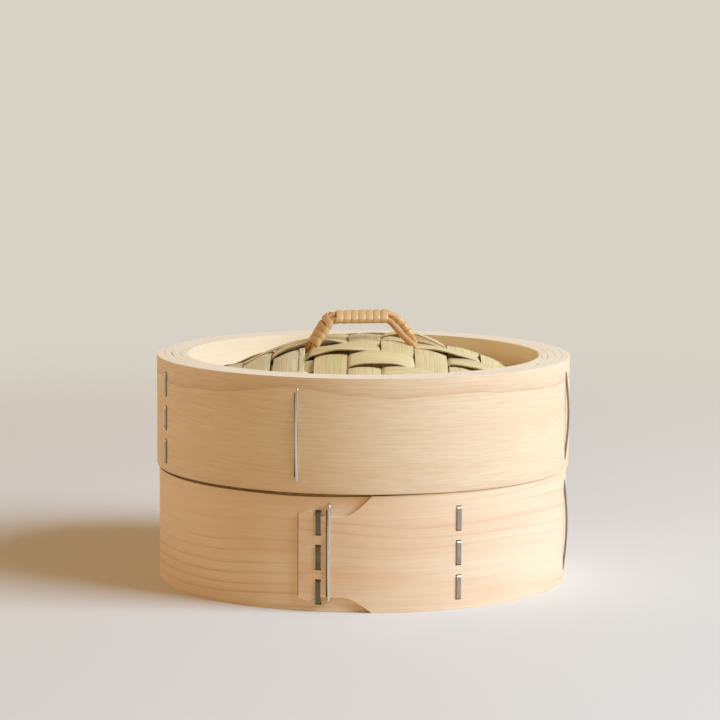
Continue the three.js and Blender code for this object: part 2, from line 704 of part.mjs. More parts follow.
const lid = new THREE.Group();
lid.name = 'lid';
lid.add(fastenedRing({
  prefix: 'lid',
  radius: lidRadius,
  low: lidBottom,
  high: lidTop,
  tailAzimuth: LID_TAIL_AZIMUTH,
  seamAzimuth: LID_SEAM_AZIMUTH,
  wireAzimuths: LID_WIRE_AZIMUTHS,
  innerHoop: {
    radius: lidInnerHoopRadius,
    low: clampBottom,
    high: lidTop,
    tailAzimuth: LID_TAIL_AZIMUTH + INNER_LAP_TURN,
    scalloped: false,
  },
}));
lid.add(lidTopPieces());

const steamerBasket = new THREE.Group();
steamerBasket.add(basket, lid);

export default steamerBasket;
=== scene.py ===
# %% [markdown]
# # A steamer basket of bent wood, split bamboo and rattan
# The real basket is two hoops of thin board, one on the other: a body with a slatted floor, and a lid
# with a woven dome and a rattan handle. Every piece of it began as something straight that a maker bent.
# So this lesson makes each mesh in the same order: a straight stick first, its cuts next, the bend last.

# %% The frame
import random
from bisect import bisect
from math import asin, atan2, cos, degrees, floor, hypot, pi, radians, sin, sqrt, tanh

import bmesh
import bpy
from mathutils import Matrix, Vector


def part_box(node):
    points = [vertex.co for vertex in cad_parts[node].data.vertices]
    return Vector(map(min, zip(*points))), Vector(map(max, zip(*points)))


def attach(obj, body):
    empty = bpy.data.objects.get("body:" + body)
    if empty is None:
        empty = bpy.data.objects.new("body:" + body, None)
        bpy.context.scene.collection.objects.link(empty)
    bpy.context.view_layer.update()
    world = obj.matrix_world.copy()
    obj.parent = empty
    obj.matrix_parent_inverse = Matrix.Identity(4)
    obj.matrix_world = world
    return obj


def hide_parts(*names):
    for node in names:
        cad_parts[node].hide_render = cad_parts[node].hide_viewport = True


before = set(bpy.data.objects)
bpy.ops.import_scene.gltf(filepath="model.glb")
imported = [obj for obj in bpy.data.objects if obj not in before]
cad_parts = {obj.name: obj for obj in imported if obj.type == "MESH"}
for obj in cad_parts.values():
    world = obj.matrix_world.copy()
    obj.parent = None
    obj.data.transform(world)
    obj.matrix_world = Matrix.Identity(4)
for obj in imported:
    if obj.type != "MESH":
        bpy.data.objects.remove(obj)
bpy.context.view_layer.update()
MM = 0.001

# %% [markdown]
# ## Colours and nodes
# A colour is easiest to judge as it shows on a screen, but a shader counts in linear light, so one
# function turns the first into the second. Another adds a node with its settings and its links, which
# keeps each material below readable as a list of what it is made of.

# %% Colour and node helpers
def linear(screen_colour):
    """A screen colour such as #E8CCA4 as the linear colour that a shader takes."""
    shares = [int(screen_colour[at:at + 2], 16) / 255 for at in (1, 3, 5)]
    return [s / 12.92 if s <= 0.04045 else ((s + 0.055) / 1.055) ** 2.4 for s in shares] + [1.0]


def new_material(name):
    """A plain material, its node tree and its shader."""
    material = bpy.data.materials.new(name)
    material.use_nodes = True
    return material, material.node_tree, material.node_tree.nodes["Principled BSDF"]


def add_node(tree, kind, inputs=None, **settings):
    """Adds a node. Each input, by name or number, is given a value or another node's output."""
    node = tree.nodes.new(kind)
    for name, value in settings.items():
        setattr(node, name, value)
    for socket, value in (inputs or {}).items():
        if isinstance(value, bpy.types.NodeSocket):
            tree.links.new(value, node.inputs[socket])
        else:
            node.inputs[socket].default_value = value
    return node


print("cream in linear light", [round(share, 3) for share in linear("#F4E0BE")])

# %% [markdown]
# ## One recipe for everything that grew
# Board, bamboo and rattan all show the same things to the eye: fine fibres that run along the piece,
# growth lines that wander a little and fade in and out, and a tone that drifts from end to end. A wood
# texture in space would cut straight through a bent board, so each piece carries a flat UV map in metres
# from before it was bent, and the grain bends with it. The growth lines come first. They are a wave
# across the piece, pushed aside by slow noise and shown in patches about 140 mm long. Each line is sharp
# below and fades upwards, as a year's growth does.

# %% Growth lines
WAVE_PERIOD = 0.314
LINE_STRETCH = 0.045
WANDER_ACROSS = 1.6
PATCHES_PER_METRE = (7, 24, 1)
PATCH_FROM = 0.62
PATCH_TO = 0.82
LINE_OUTSIDE_PATCH = 0.12


def growth_lines(tree, flat, line_mm, depth, cover, wander_mm, wander_length_mm, phase, distortion,
                 crispness):
    """How much the growth lines darken each place of the flat map."""
    slow = 1 / (wander_length_mm * MM)
    course = add_node(tree, "ShaderNodeMapping",
                      {"Vector": flat, "Scale": (slow, slow * WANDER_ACROSS, 1)})
    wander = add_node(tree, "ShaderNodeTexNoise",
                      {"Vector": course.outputs[0], "Scale": 1.0, "Detail": 2.0})
    wandered = add_node(tree, "ShaderNodeVectorMath",
                        {0: wander.outputs["Fac"], 1: (0, wander_mm * MM, 0), 2: flat},
                        operation="MULTIPLY_ADD")
    across = WAVE_PERIOD / (line_mm * MM)
    broad = add_node(tree, "ShaderNodeMapping",
                     {"Vector": wandered.outputs[0], "Scale": (across * LINE_STRETCH, across, 1)})
    rings = add_node(tree, "ShaderNodeTexWave",
                     {"Vector": broad.outputs[0], "Scale": 1.0, "Distortion": distortion, "Detail": 1.5,
                      "Detail Scale": 1.2, "Detail Roughness": 0.5, "Phase Offset": phase},
                     bands_direction="Y", wave_profile="SAW")
    ramp = add_node(tree, "ShaderNodeMapRange", {0: rings.outputs["Fac"], 1: 0.0, 2: 0.5, 3: 1.0, 4: 0.0})
    crisp = add_node(tree, "ShaderNodeMath", {0: ramp.outputs[0], 1: crispness}, operation="POWER")
    lines = add_node(tree, "ShaderNodeMath", {0: crisp.outputs[0], 1: depth}, operation="MULTIPLY")
    patch = add_node(tree, "ShaderNodeMapping", {"Vector": flat, "Scale": PATCHES_PER_METRE})
    patches = add_node(tree, "ShaderNodeTexNoise",
                       {"Vector": patch.outputs[0], "Scale": 1.0, "Detail": 2.0})
    shown = add_node(tree, "ShaderNodeMapRange",
                     {0: patches.outputs["Fac"], 1: PATCH_FROM - 0.4 * cover, 2: PATCH_TO - 0.4 * cover,
                      3: LINE_OUTSIDE_PATCH, 4: 1.0})
    return add_node(tree, "ShaderNodeMath", {0: lines.outputs[0], 1: shown.outputs[0]},
                    operation="MULTIPLY").outputs[0]


print("a growth line every 5 mm takes a wave of scale", round(WAVE_PERIOD / (5 * MM), 1))

# %% [markdown]
# The fibres are noise drawn out along the piece, as thick and as long as the real ones. They give streaks
# of colour, a gloss that varies from fibre to fibre, and a relief of a few hundredths of a millimetre.
# Most pieces share what is set here as a default.

# %% Grown material
TONES_PER_METRE = (6, 55, 1)
GLOSS_VARIES = 0.07
WOOD_IOR = 1.5


def grown_material(name, pale, dark, tint, fibre_mm, fibre_depth, line_mm, line_depth, fibre_length_mm=40,
                   line_cover=0.5, tint_depth=0.5, roughness=0.6, relief_mm=0.03, wander_mm=2.0,
                   wander_length_mm=90, line_phase=0.0, distortion=5.0, crispness=2.2):
    """Fibres and growth lines along a piece, from its flat UV map."""
    material, tree, shader = new_material(name)
    flat = add_node(tree, "ShaderNodeUVMap", uv_map="flat").outputs[0]
    drawn_out = (1 / (fibre_length_mm * MM), 1 / (fibre_mm * MM), 1)
    fine = add_node(tree, "ShaderNodeMapping", {"Vector": flat, "Scale": drawn_out})
    noise = add_node(tree, "ShaderNodeTexNoise",
                     {"Vector": fine.outputs[0], "Scale": 1.0, "Detail": 4.0, "Roughness": 0.65})
    fibres = noise.outputs["Fac"]
    streaks = add_node(tree, "ShaderNodeMapRange", {0: fibres, 1: 0.35, 2: 0.75, 3: 0.0, 4: fibre_depth})
    lines = growth_lines(tree, flat, line_mm, line_depth, line_cover, wander_mm, wander_length_mm,
                         line_phase, distortion, crispness)
    grain = add_node(tree, "ShaderNodeMath", {0: lines, 1: streaks.outputs[0]}, use_clamp=True)
    wide = add_node(tree, "ShaderNodeMapping", {"Vector": flat, "Scale": TONES_PER_METRE})
    drift = add_node(tree, "ShaderNodeTexNoise", {"Vector": wide.outputs[0], "Scale": 1.0, "Detail": 2.0})
    tone = add_node(tree, "ShaderNodeMapRange",
                    {0: drift.outputs["Fac"], 1: 0.42, 2: 0.72, 3: 0.0, 4: tint_depth})
    body = add_node(tree, "ShaderNodeMix", {0: tone.outputs[0], 6: linear(pale), 7: linear(tint)},
                    data_type="RGBA")
    colour = add_node(tree, "ShaderNodeMix", {0: grain.outputs[0], 6: body.outputs[2], 7: linear(dark)},
                      data_type="RGBA")
    gloss = add_node(tree, "ShaderNodeMapRange",
                     {0: fibres, 1: 0.3, 2: 0.7, 3: roughness - GLOSS_VARIES, 4: roughness + GLOSS_VARIES})
    relief = add_node(tree, "ShaderNodeBump",
                      {"Height": fibres, "Distance": relief_mm * MM, "Strength": 1.0})
    tree.links.new(colour.outputs[2], shader.inputs["Base Color"])
    tree.links.new(gloss.outputs[0], shader.inputs["Roughness"])
    tree.links.new(relief.outputs[0], shader.inputs["Normal"])
    shader.inputs["IOR"].default_value = WOOD_IOR
    return material


print("tones drift every", round(1 / TONES_PER_METRE[0] / MM), "mm along a piece")

# %% [markdown]
# ## The boards
# The hoops are planed softwood: pale cream, almost without shine. The body's board was sawn with its
# growth lines close together, and the lid's so that only one or two show along its whole height. Their
# narrow edges are paler, partly their own colour and partly painted light from above. One recipe with
# other numbers makes them all, so they look like one wood.

# %% Softwood
# Planed softwood with close lines: a matt cream in which the lines are only a little darker and redder.
close_board = grown_material(
    "planed softwood with close growth lines", "#F9E3C4", "#B87A48", "#EEBF92",
    fibre_mm=1.1, fibre_depth=0.13, line_mm=5.2, line_depth=0.42, line_cover=0.4, roughness=0.62,
    wander_mm=45, wander_length_mm=260)
# The same wood sawn flat: even and pale between a few broad lines.
plain_board = grown_material(
    "planed softwood with few growth lines", "#F4E0BE", "#B87A48", "#EDCDA4",
    fibre_mm=1.1, fibre_depth=0.26, fibre_length_mm=18, line_mm=48, line_depth=0.28, line_cover=0.9,
    roughness=0.62, wander_mm=-22, line_phase=2.35, distortion=0.8, crispness=7)
# The lid's inner boards: clear wood, smooth and even.
clear_board = grown_material(
    "clear planed softwood", "#F7E5C5", "#C08A58", "#EFD5AB",
    fibre_mm=1.1, fibre_depth=0.12, line_mm=30, line_depth=0.15, tint_depth=0.4, distortion=1.0)
# The board's sawn edge: paler, with close straight lines. Part of the paleness is painted light from above,
# which the lower edges get too.
pale_edge_with_top_light = grown_material(
    "sawn softwood edge with painted top light", "#FDF0D6", "#D9B78C", "#F5E3C2",
    fibre_mm=0.6, fibre_depth=0.14, fibre_length_mm=90, line_mm=1.6, line_depth=0.12, tint_depth=0.3,
    roughness=0.7)
# Painted shade: dark fibres for the board's face where it lies in deep shade, beside steel and at the
# tail's end.
painted_shade_wood = grown_material(
    "painted shade in a board's face", "#4A3018", "#1E1208", "#5E4026",
    fibre_mm=0.4, fibre_depth=0.5, fibre_length_mm=3, line_mm=1.0, line_depth=0.2, roughness=0.9,
    relief_mm=0.05)
print("softwoods", [m.name for m in (close_board, plain_board, clear_board, pale_edge_with_top_light, painted_shade_wood)])

# %% [markdown]
# ## Bamboo and rattan
# The dome is split bamboo, yellower than the boards and slightly glossy, with straight fibres. A few of
# its strips are paler than the rest, because they were split from deeper in the stem. The floor is bamboo
# too, cut thicker. The handle is a peeled cane with a strip of its own glossy skin wound round it.

# %% Bamboo and rattan
STRIP_GRAIN = dict(fibre_mm=0.8, fibre_depth=0.5, fibre_length_mm=45, line_mm=5.5, line_depth=0.08,
                   line_cover=0.4, tint_depth=0.8, relief_mm=0.06)
# Split bamboo: straight parallel fibres under a faint natural sheen, from straw yellow to pale green.
split_bamboo = grown_material(
    "split bamboo strip", "#F6E3AA", "#8F7448", "#D4C080", roughness=0.46, **STRIP_GRAIN)
# Bamboo from nearer the pith: the same fibres, paler and greyer.
pale_bamboo = grown_material(
    "pale split bamboo strip", "#F4EAC0", "#9C8A60", "#DCCFA0", roughness=0.5, **STRIP_GRAIN)
# The cut side of a bamboo strip: browner than its face, partly its own colour and partly painted shade for
# the gaps between strips.
bamboo_side_with_gap_shade = grown_material(
    "cut side of a bamboo strip with painted gap shade", "#B99C6C", "#6E5636", "#A3865A",
    fibre_mm=0.5, fibre_depth=0.3, line_mm=2.0, line_depth=0.1)
# Floor bamboo: the same plant cut thicker and sanded, so it is warmer and duller.
floor_bamboo = grown_material(
    "sanded bamboo slat", "#E4C998", "#A77B45", "#D5B078",
    fibre_mm=0.7, fibre_depth=0.3, fibre_length_mm=70, line_mm=3.6, line_depth=0.2, line_cover=0.6,
    tint_depth=0.45, roughness=0.55, relief_mm=0.05)
# Peeled rattan cane: light brown, with long soft pores.
rattan_cane = grown_material(
    "peeled rattan cane", "#DDAA70", "#94602F", "#CB9156",
    fibre_mm=0.5, fibre_depth=0.35, fibre_length_mm=25, line_mm=1.4, line_depth=0.2, line_cover=0.6,
    roughness=0.45, relief_mm=0.05)
# Rattan skin: the glossy outside of the cane, split to a strip.
rattan_skin = grown_material(
    "split rattan skin", "#E2BC84", "#986834", "#CC9C62",
    fibre_mm=0.45, fibre_depth=0.26, fibre_length_mm=45, line_mm=1.2, line_depth=0.14, line_cover=0.6,
    roughness=0.36)
print("grown materials so far", len(bpy.data.materials))

# %% [markdown]
# ## Wire
# The staples and the long stitches are drawn steel wire. Drawing leaves fine scratches along the wire,
# which spread its highlight, and handling dulls it in patches. A metal gets its look from what it
# reflects, so the material only varies its roughness and darkens a little where it is dull.

# %% Steel
DULL_PATCH_MM = 4
WEAR = 0.08


def drawn_steel(name, bright, dull, roughness):
    """Steel with dull patches a few millimetres long."""
    material, tree, shader = new_material(name)
    shader.inputs["Metallic"].default_value = 1.0
    flat = add_node(tree, "ShaderNodeUVMap", uv_map="flat").outputs[0]
    patches = add_node(tree, "ShaderNodeTexNoise",
                       {"Vector": flat, "Scale": 1 / (DULL_PATCH_MM * MM), "Detail": 3.0}).outputs["Fac"]
    worn = add_node(tree, "ShaderNodeMapRange",
                    {0: patches, 1: 0.4, 2: 0.7, 3: roughness, 4: roughness + WEAR})
    colour = add_node(tree, "ShaderNodeMix", {0: patches, 6: linear(bright), 7: linear(dull)},
                      data_type="RGBA")
    tree.links.new(colour.outputs[2], shader.inputs["Base Color"])
    tree.links.new(worn.outputs[0], shader.inputs["Roughness"])
    return material


# Drawn wire: round and polished by the die, so one side catches the window.
bright_wire = drawn_steel("bright drawn steel wire", "#E9E4DC", "#D8D2C8", 0.3)
# The same wire with painted shade: darker, and a little rougher, for the dim surroundings it reflects, so
# it shows darker than the pale board behind it.
shaded_wire = drawn_steel("drawn steel wire with painted shade", "#B0A592", "#84796A", 0.4)
# Rolled flat wire at the seam, with painted light: brighter, for the window it faces and reflects.
lit_flat_wire = drawn_steel("flat steel wire with painted window light", "#C9C2B6", "#9A9184", 0.3)
# The tail's flat wire, with painted shade: much duller and darker, for the dim surroundings it reflects.
shaded_flat_wire = drawn_steel("flat steel wire with painted shade", "#8A8070", "#5E5546", 0.36)
print("metals", [m.name for m in (bright_wire, shaded_wire, lit_flat_wire, shaded_flat_wire)])

# %% [markdown]
# ## A straight stick
# A stick starts as a cube, scaled to width and thickness, with its four long corners bevelled. Cuts along
# it give it stations, which are where it can bend, and they may lie closer together where a bend is
# sharper. A rod is the same with a round section.

# %% A straight stick
SIDE_SLOT = 1


def steps(start, stop, count):
    """Evenly spaced numbers from start to stop, both included."""
    return [start + (stop - start) * k / count for k in range(count + 1)]


def stick(stations, width, thickness, across=1, rounding=0.0, sides=None):
    """A straight stick along x through the stations, with y across it; sides makes it a round rod."""
    bm = bmesh.new()
    if sides:
        bmesh.ops.create_cone(bm, cap_ends=True, segments=sides, radius1=0.5, radius2=0.5, depth=1.0,
                              matrix=Matrix.Rotation(pi / 2, 4, "Y"))
    else:
        bmesh.ops.create_cube(bm, size=1.0)
    bmesh.ops.scale(bm, vec=(1.0, width, thickness), verts=bm.verts)

    def long_edges():
        return [e for e in bm.edges if abs(e.verts[0].co.x - e.verts[1].co.x) > 0.5]

    if rounding:
        bmesh.ops.bevel(bm, geom=long_edges(), offset=rounding, offset_type="OFFSET", segments=2,
                        profile=0.5, affect="EDGES", material=-1)
    cuts = len(stations) - 1
    bmesh.ops.subdivide_edges(bm, edges=long_edges(), cuts=cuts - 1, use_grid_fill=True)
    if across > 1:
        wide_edges = [e for e in bm.edges if abs(e.verts[0].co.y - e.verts[1].co.y) > 0.5 * width]
        bmesh.ops.subdivide_edges(bm, edges=wide_edges, cuts=across - 1, use_grid_fill=True)
    for vert in bm.verts:
        vert.co.x = stations[round((vert.co.x + 0.5) * cuts)]
    return bm


def mark_sides(bm):
    """Gives the stick's two narrow sides the second material."""
    for face in bm.faces:
        if abs(face.normal.y) > 0.9:
            face.material_index = SIDE_SLOT


trial = stick(steps(0, 10 * MM, 4), 2 * MM, 1 * MM)
print("a stick of five stations has", len(trial.verts), "corners")
trial.free()

# %% [markdown]
# A bend is a function that says where each point of the straight stick goes. The flat UV map is laid
# before it: its first number runs along the stick and its second goes round the section, in metres. Each
# piece starts at another stretch of the grain, so that no two look alike.

# %% Bend and grain
GRAIN_STEP_ALONG = 0.731
GRAIN_STEP_ACROSS = 0.173


def bend(bm, place):
    """Moves every vertex to where place(x, y, z) puts it."""
    for vert in bm.verts:
        vert.co = place(*vert.co)


def lay_grain(bm, shift):
    """Writes the flat UV map, starting at the stretch of grain that shift gives."""
    layer = bm.loops.layers.uv.new("flat")
    for face in bm.faces:
        for loop in face.loops:
            x, y, z = loop.vert.co
            loop[layer].uv = (x + GRAIN_STEP_ALONG * shift, y + z + GRAIN_STEP_ACROSS * shift)


def smooth(share):
    """Eases from 0 to 1 as share goes from 0 to 1."""
    share = min(max(share, 0.0), 1.0)
    return share * share * (3 - 2 * share)


print("an ease passes", [round(smooth(share), 2) for share in steps(0, 1, 4)])

# %% [markdown]
# A bent stick becomes a piece: an object at the origin that rides on one of the basket's two bodies and
# stands for the solids it replaces. It is shaded smooth up to its sharp edges, and weighted normals keep
# its large faces even beside their narrow bevels.

# %% From stick to piece
SHARP_ANGLE = 40


def joined(bm, other):
    """Adds another bmesh's faces to bm and returns bm."""
    mesh = bpy.data.meshes.new("joined")
    other.to_mesh(mesh)
    other.free()
    bm.from_mesh(mesh)
    bpy.data.meshes.remove(mesh)
    return bm


def piece(name, bm, materials, body, slot, *nodes):
    """Turns a finished bmesh into a piece that rides on a body and stands for CAD nodes."""
    bmesh.ops.recalc_face_normals(bm, faces=bm.faces)
    mesh = bpy.data.meshes.new(name)
    bm.to_mesh(mesh)
    bm.free()
    mesh.shade_smooth()
    mesh.set_sharp_from_angle(angle=radians(SHARP_ANGLE))
    for material in materials:
        mesh.materials.append(material)
    obj = bpy.data.objects.new(name, mesh)
    bpy.context.scene.collection.objects.link(obj)
    obj.modifiers.new("normals follow the large faces", "WEIGHTED_NORMAL").keep_sharp = True
    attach(obj, body)
    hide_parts(*nodes)
    return obj


print("edges of more than", SHARP_ANGLE, "degrees stay sharp")

# %% [markdown]
# ## The wound hoops
# Each hoop is one long board wound twice round on itself, shaved thin at its two ends so that the laps
# lie flush. Two nested rings would miss the lap, which is what the eye looks for, so the board is one
# stick of two turns: it is bent to a spiral, and its depth in the wall follows the shaving.

# %% Winding a board
WALL = 7.9
PLY_HALF_GAP = 0.04
LAP_EDGE = 1.3
INNER_EDGE = 0.4
SHAVED_ANGLE = 30
RUN_IN_ANGLE = 15
TURN = 360
first_seam = LAP_EDGE + PLY_HALF_GAP
middle_seam = WALL / 2
last_seam = WALL - INNER_EDGE - PLY_HALF_GAP
outer_step = LAP_EDGE + 2 * PLY_HALF_GAP
inner_step = INNER_EDGE + 2 * PLY_HALF_GAP


def seam_depth(angle):
    """How deep in the wall, in millimetres, the seam under the first turn lies."""
    first = first_seam + (middle_seam - first_seam) * smooth(angle / SHAVED_ANGLE)
    return first + (last_seam - middle_seam) * smooth((angle - TURN) / SHAVED_ANGLE)


def board_faces(angle):
    """Depth of a board's outer and inner face at an angle from its outer end."""
    if angle < TURN:
        outer = outer_step * smooth((angle - TURN + RUN_IN_ANGLE) / RUN_IN_ANGLE)
    else:
        outer = seam_depth(angle - TURN) + PLY_HALF_GAP
    if angle <= TURN + SHAVED_ANGLE:
        inner = seam_depth(angle) - PLY_HALF_GAP
    else:
        inner = WALL - inner_step * (1 - smooth((angle - TURN - SHAVED_ANGLE) / RUN_IN_ANGLE))
    return outer, inner


def polar(radius, azimuth, z):
    """A point in metres; azimuth 0 faces the front and grows to the right."""
    turn = radians(azimuth)
    return Vector((radius * sin(turn) * MM, -radius * cos(turn) * MM, z * MM))


print("the seam lies", [round(seam_depth(angle), 2) for angle in (0, 15, 180, 390)], "mm deep")

# %% [markdown]
# The outer end of the visible boards is cut to a waisted tail. Its outline is given as how far each long
# edge is cut in, at distances from the end. Between them the cut eases from one to the next, so the two
# horns and the waist come out rounded. It is cut on the flat stick, so the grain runs through it.

# %% The tail's cut
TAIL_CUTS = [(0, 7.4), (4.6, 5.8), (10, 8.4), (21, 8.4)]
TAIL_LENGTH = 36
TAIL_DROP = 1.3
TAIL_CHAMFER = 0.5


def tail_cut(distance):
    """How far the tail's long edges are cut in, in millimetres, at a distance from its end."""
    last_at, last_cut = TAIL_CUTS[-1]
    if distance >= last_at:
        return last_cut * cos(min((distance - last_at) / (TAIL_LENGTH - last_at), 1) * pi / 2)
    for (near, cut_near), (far, cut_far) in zip(TAIL_CUTS, TAIL_CUTS[1:]):
        if distance <= far:
            return cut_near + (cut_far - cut_near) * smooth((distance - near) / (far - near))


def tailed_y(distance, y, half, chamfer):
    """Where a point across the board goes when the tail is cut, a little lower at the waist."""
    cut = tail_cut(distance)
    share = min(cut / TAIL_CUTS[-1][1], 1)
    return y * (1 - (cut + chamfer * share) / half) - TAIL_DROP * share


print("the tail is cut in by", [round(tail_cut(at), 1) for at in range(0, TAIL_LENGTH, 6)], "mm")

# %% [markdown]
# Beside what was pressed into a board, and beside the tail's end, no light gets in, and the eye reads a
# thin dark line. A groove in the board itself would need a fine mesh all over, so that shade is painted: a
# thin dark stick that lies sunk in the face, almost flush with it.

# %% Dark lines in a board's face
PAINTED_SHADE_SLOT = 2
PAINTED_SHADE_GRAIN = 70
SHADE_LINE_DEPTH = 0.3
SHADE_LINE_PROUD = -0.1


def painted_shade_line(stations, width, place):
    """A thin dark stick of painted shade, laid where place puts it."""
    bm = stick(stations, width * MM, SHADE_LINE_DEPTH * MM)
    for face in bm.faces:
        face.material_index = PAINTED_SHADE_SLOT
    lay_grain(bm, PAINTED_SHADE_GRAIN)
    bend(bm, place)
    return bm


def painted_shade_up_face(azimuth, radius, low, high, width):
    """A painted shade line up a board's face."""
    def place(x, y, z):
        return polar(radius + SHADE_LINE_PROUD + z / MM, azimuth + degrees(y / MM / radius), x / MM)

    return painted_shade_line(steps(low * MM, high * MM, 12), width, place)


print("a dark line stands", round(SHADE_LINE_PROUD + SHADE_LINE_DEPTH / 2, 2), "mm proud of the face")

# %% [markdown]
# All six hoops are the same winding between the lowest and highest points of their solids. The visible
# ones have the tail, and the inner ones start half a turn away from it. The body's upper edge dips a
# little on the left. On the lid, the rim board reaches down onto the weave and the board under it stands
# lower, because the weave's edge has settled there.

# %% The six hoops
RADIUS = {"basket": 105, "lid": 106.2}
TAIL_AZIMUTH = {"basket": -17.2, "lid": -116.4}
HALF_TURN = 180
BOARD_ROUNDING = 0.22
STATION_ANGLE = 2.5
BODY_DIP = 1.3
BODY_DIP_AZIMUTH = -88
UNDERCUT = 0.33
TAIL_SHADE_WIDTH = 0.7
RIM_REACH = 3.2
SEAT_DROP = 1.4


def wound_board(name, node, body, board, shift, tailed=False, dip=0.0, reach=0.0, drop=0.0):
    """A board of two turns; dip lowers its upper edge on the left, drop all round, reach its lower edge."""
    low, high = (corner.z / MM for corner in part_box(node))
    low -= reach
    high -= drop
    half = (high - low) / 2
    radius = RADIUS[body] if tailed else RADIUS[body] - WALL - PLY_HALF_GAP
    start = TAIL_AZIMUTH[body] if tailed else TAIL_AZIMUTH[body] + HALF_TURN
    tail = steps(0, degrees(TAIL_LENGTH / radius), TAIL_LENGTH) if tailed else [0]
    plain = round((2 * TURN + SHAVED_ANGLE - tail[-1]) / STATION_ANGLE)
    angles = tail[:-1] + steps(tail[-1], 2 * TURN + SHAVED_ANGLE, plain)
    stations = [radians(angle) * radius * MM for angle in angles]
    bm = stick(stations, 2 * half * MM, middle_seam * MM, rounding=BOARD_ROUNDING * MM)
    mark_sides(bm)

    def cut_tail(x, y, z):
        return Vector((x, tailed_y(x / MM, y / MM, half, TAIL_CHAMFER if z > 0 else 0) * MM, z))

    def wind(x, y, z):
        angle = degrees(x / MM / radius)
        outer, inner = board_faces(angle)
        depth = outer + (inner - outer) * (0.5 - z / MM / middle_seam)
        azimuth = start + angle
        near = smooth(0.5 + cos(radians(azimuth - BODY_DIP_AZIMUTH)))
        lowered = dip * (1 + UNDERCUT * depth) * near * (0.5 + y / MM / half / 2)
        return polar(radius - depth, azimuth, low + half + y / MM - lowered)

    if tailed:
        bend(bm, cut_tail)
    lay_grain(bm, shift)
    bend(bm, wind)
    if tailed:
        # Painted shade: a thin dark line on the board beneath, just left of the tail's end.
        bottom = low + tail_cut(0)
        top = high - tail_cut(0) - 2 * TAIL_DROP
        beside = start - degrees(TAIL_SHADE_WIDTH / 2 / radius)
        bm = joined(bm, painted_shade_up_face(beside, radius - outer_step, bottom, top, TAIL_SHADE_WIDTH))
    slot = "outer_board" if tailed else "inner_board"
    return piece(name, bm, [board, pale_edge_with_top_light, painted_shade_wood], body, slot, node)


hoops = [
    wound_board("body_outer_board", "body_outer_hoop", "basket", close_board, 19, tailed=True,
                dip=BODY_DIP),
    wound_board("body_lip_board", "body_upper_hoop", "basket", close_board, 2),
    wound_board("body_foot_board", "body_lower_hoop", "basket", close_board, 3),
    wound_board("lid_outer_board", "lid_outer_hoop", "lid", plain_board, 4, tailed=True),
    wound_board("lid_rim_board", "lid_upper_hoop", "lid", clear_board, 5, reach=RIM_REACH),
    wound_board("lid_seat_board", "lid_lower_hoop", "lid", clear_board, 6, drop=SEAT_DROP),
]
print("hoops", [(h.name, len(h.data.polygons)) for h in hoops])

# %% [markdown]
# ## The floor
# Nine bamboo slats lie on two bars let into the lower hoop. A slat is sawn from the wall of a bamboo
# stem, so its long edges are eased and one or two of the stem's joints cross it as low ridges. Its ends
# follow the hoop, which is a cut on the flat stick: every station is pulled in to the circle.

# %% Slats and bars
FLOOR_RADIUS = 93.4
SLAT_COUNT = 9
SLAT_ROUNDING = 1.1
LEFT_JOINT = (-70, -5)
RIGHT_JOINT = (35, 90)
JOINT_RISE = 0.35
JOINT_SPREAD = 2.2
BAR_ROUNDING = 0.9
BAR_SINK = 0.15
draw = random.Random(5)


def seat_box(node):
    """Middle and size of a CAD node's box."""
    low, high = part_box(node)
    return (low + high) / 2, high - low


def slat(number):
    """One floor slat along x, in the box of its CAD node."""
    node = f"floor_slat_{number}"
    middle, size = seat_box(node)
    reach = size.x / 2 / MM
    bm = stick(steps(-1, 1, 110), size.y, size.z, across=4, rounding=SLAT_ROUNDING * MM)
    joints = [draw.uniform(*LEFT_JOINT), draw.uniform(*RIGHT_JOINT)]

    def cut(x, y, z):
        end = min(sqrt(FLOOR_RADIUS ** 2 - (y / MM + middle.y / MM) ** 2), reach)
        along = x * end
        rise = sum(JOINT_RISE * max(0, 1 - ((along - at) / JOINT_SPREAD) ** 2) ** 2 for at in joints)
        return Vector((along * MM, y, z + (rise * MM if z > 0 else 0)))

    bend(bm, cut)
    lay_grain(bm, 10 + number)
    bend(bm, lambda x, y, z: Vector((x, y, z - (JOINT_RISE * MM if z > 0 else 0))) + middle)
    return piece(f"bamboo_slat_{number}", bm, [floor_bamboo], "basket", "floor_bamboo", node)


def bar(side, number):
    """One of the two bars under the slats, along y."""
    node = f"floor_crossbar_{side}"
    middle, size = seat_box(node)
    bm = stick(steps(-size.y / 2, size.y / 2, 80), size.x, size.z, across=3, rounding=BAR_ROUNDING * MM)
    lay_grain(bm, 20 + number)
    bend(bm, lambda x, y, z: Vector((y, x, z - (BAR_SINK * MM if z > 0 else 0))) + middle)
    return piece(f"bamboo_bar_{side}", bm, [floor_bamboo], "basket", "floor_bamboo", node)


floor_pieces = [slat(k + 1) for k in range(SLAT_COUNT)] + [bar("left", 1), bar("right", 2)]

# %% [markdown]
# ## The woven dome
# Eleven strips run front to back and ten run side to side. Each goes over two and under two, one step
# further on from strip to strip, which is a twill. So the plan is only where the strips lie, which one is
# on top at a crossing, and the shallow dome that they follow.

# %% The weave's plan
WEAVE_RADIUS = 94.4
DOME_TOP = 122.0
DOME_FALL = 0.0023554
WARP_COUNT = 11
WEFT_COUNT = 10
WARP_PITCH = 17.173
WEFT_PITCH = 18.89
WARP_SHIFT = 1.0
WEFT_SHIFT = -2.55
TWILL_REPEAT = 4
TWILL_FLOAT = 2
TWILL_START = 3
warp_at = [WARP_PITCH * (k - (WARP_COUNT - 1) / 2) + WARP_SHIFT for k in range(WARP_COUNT)]
weft_at = [WEFT_PITCH * (k - (WEFT_COUNT - 1) / 2) + WEFT_SHIFT for k in range(WEFT_COUNT)]


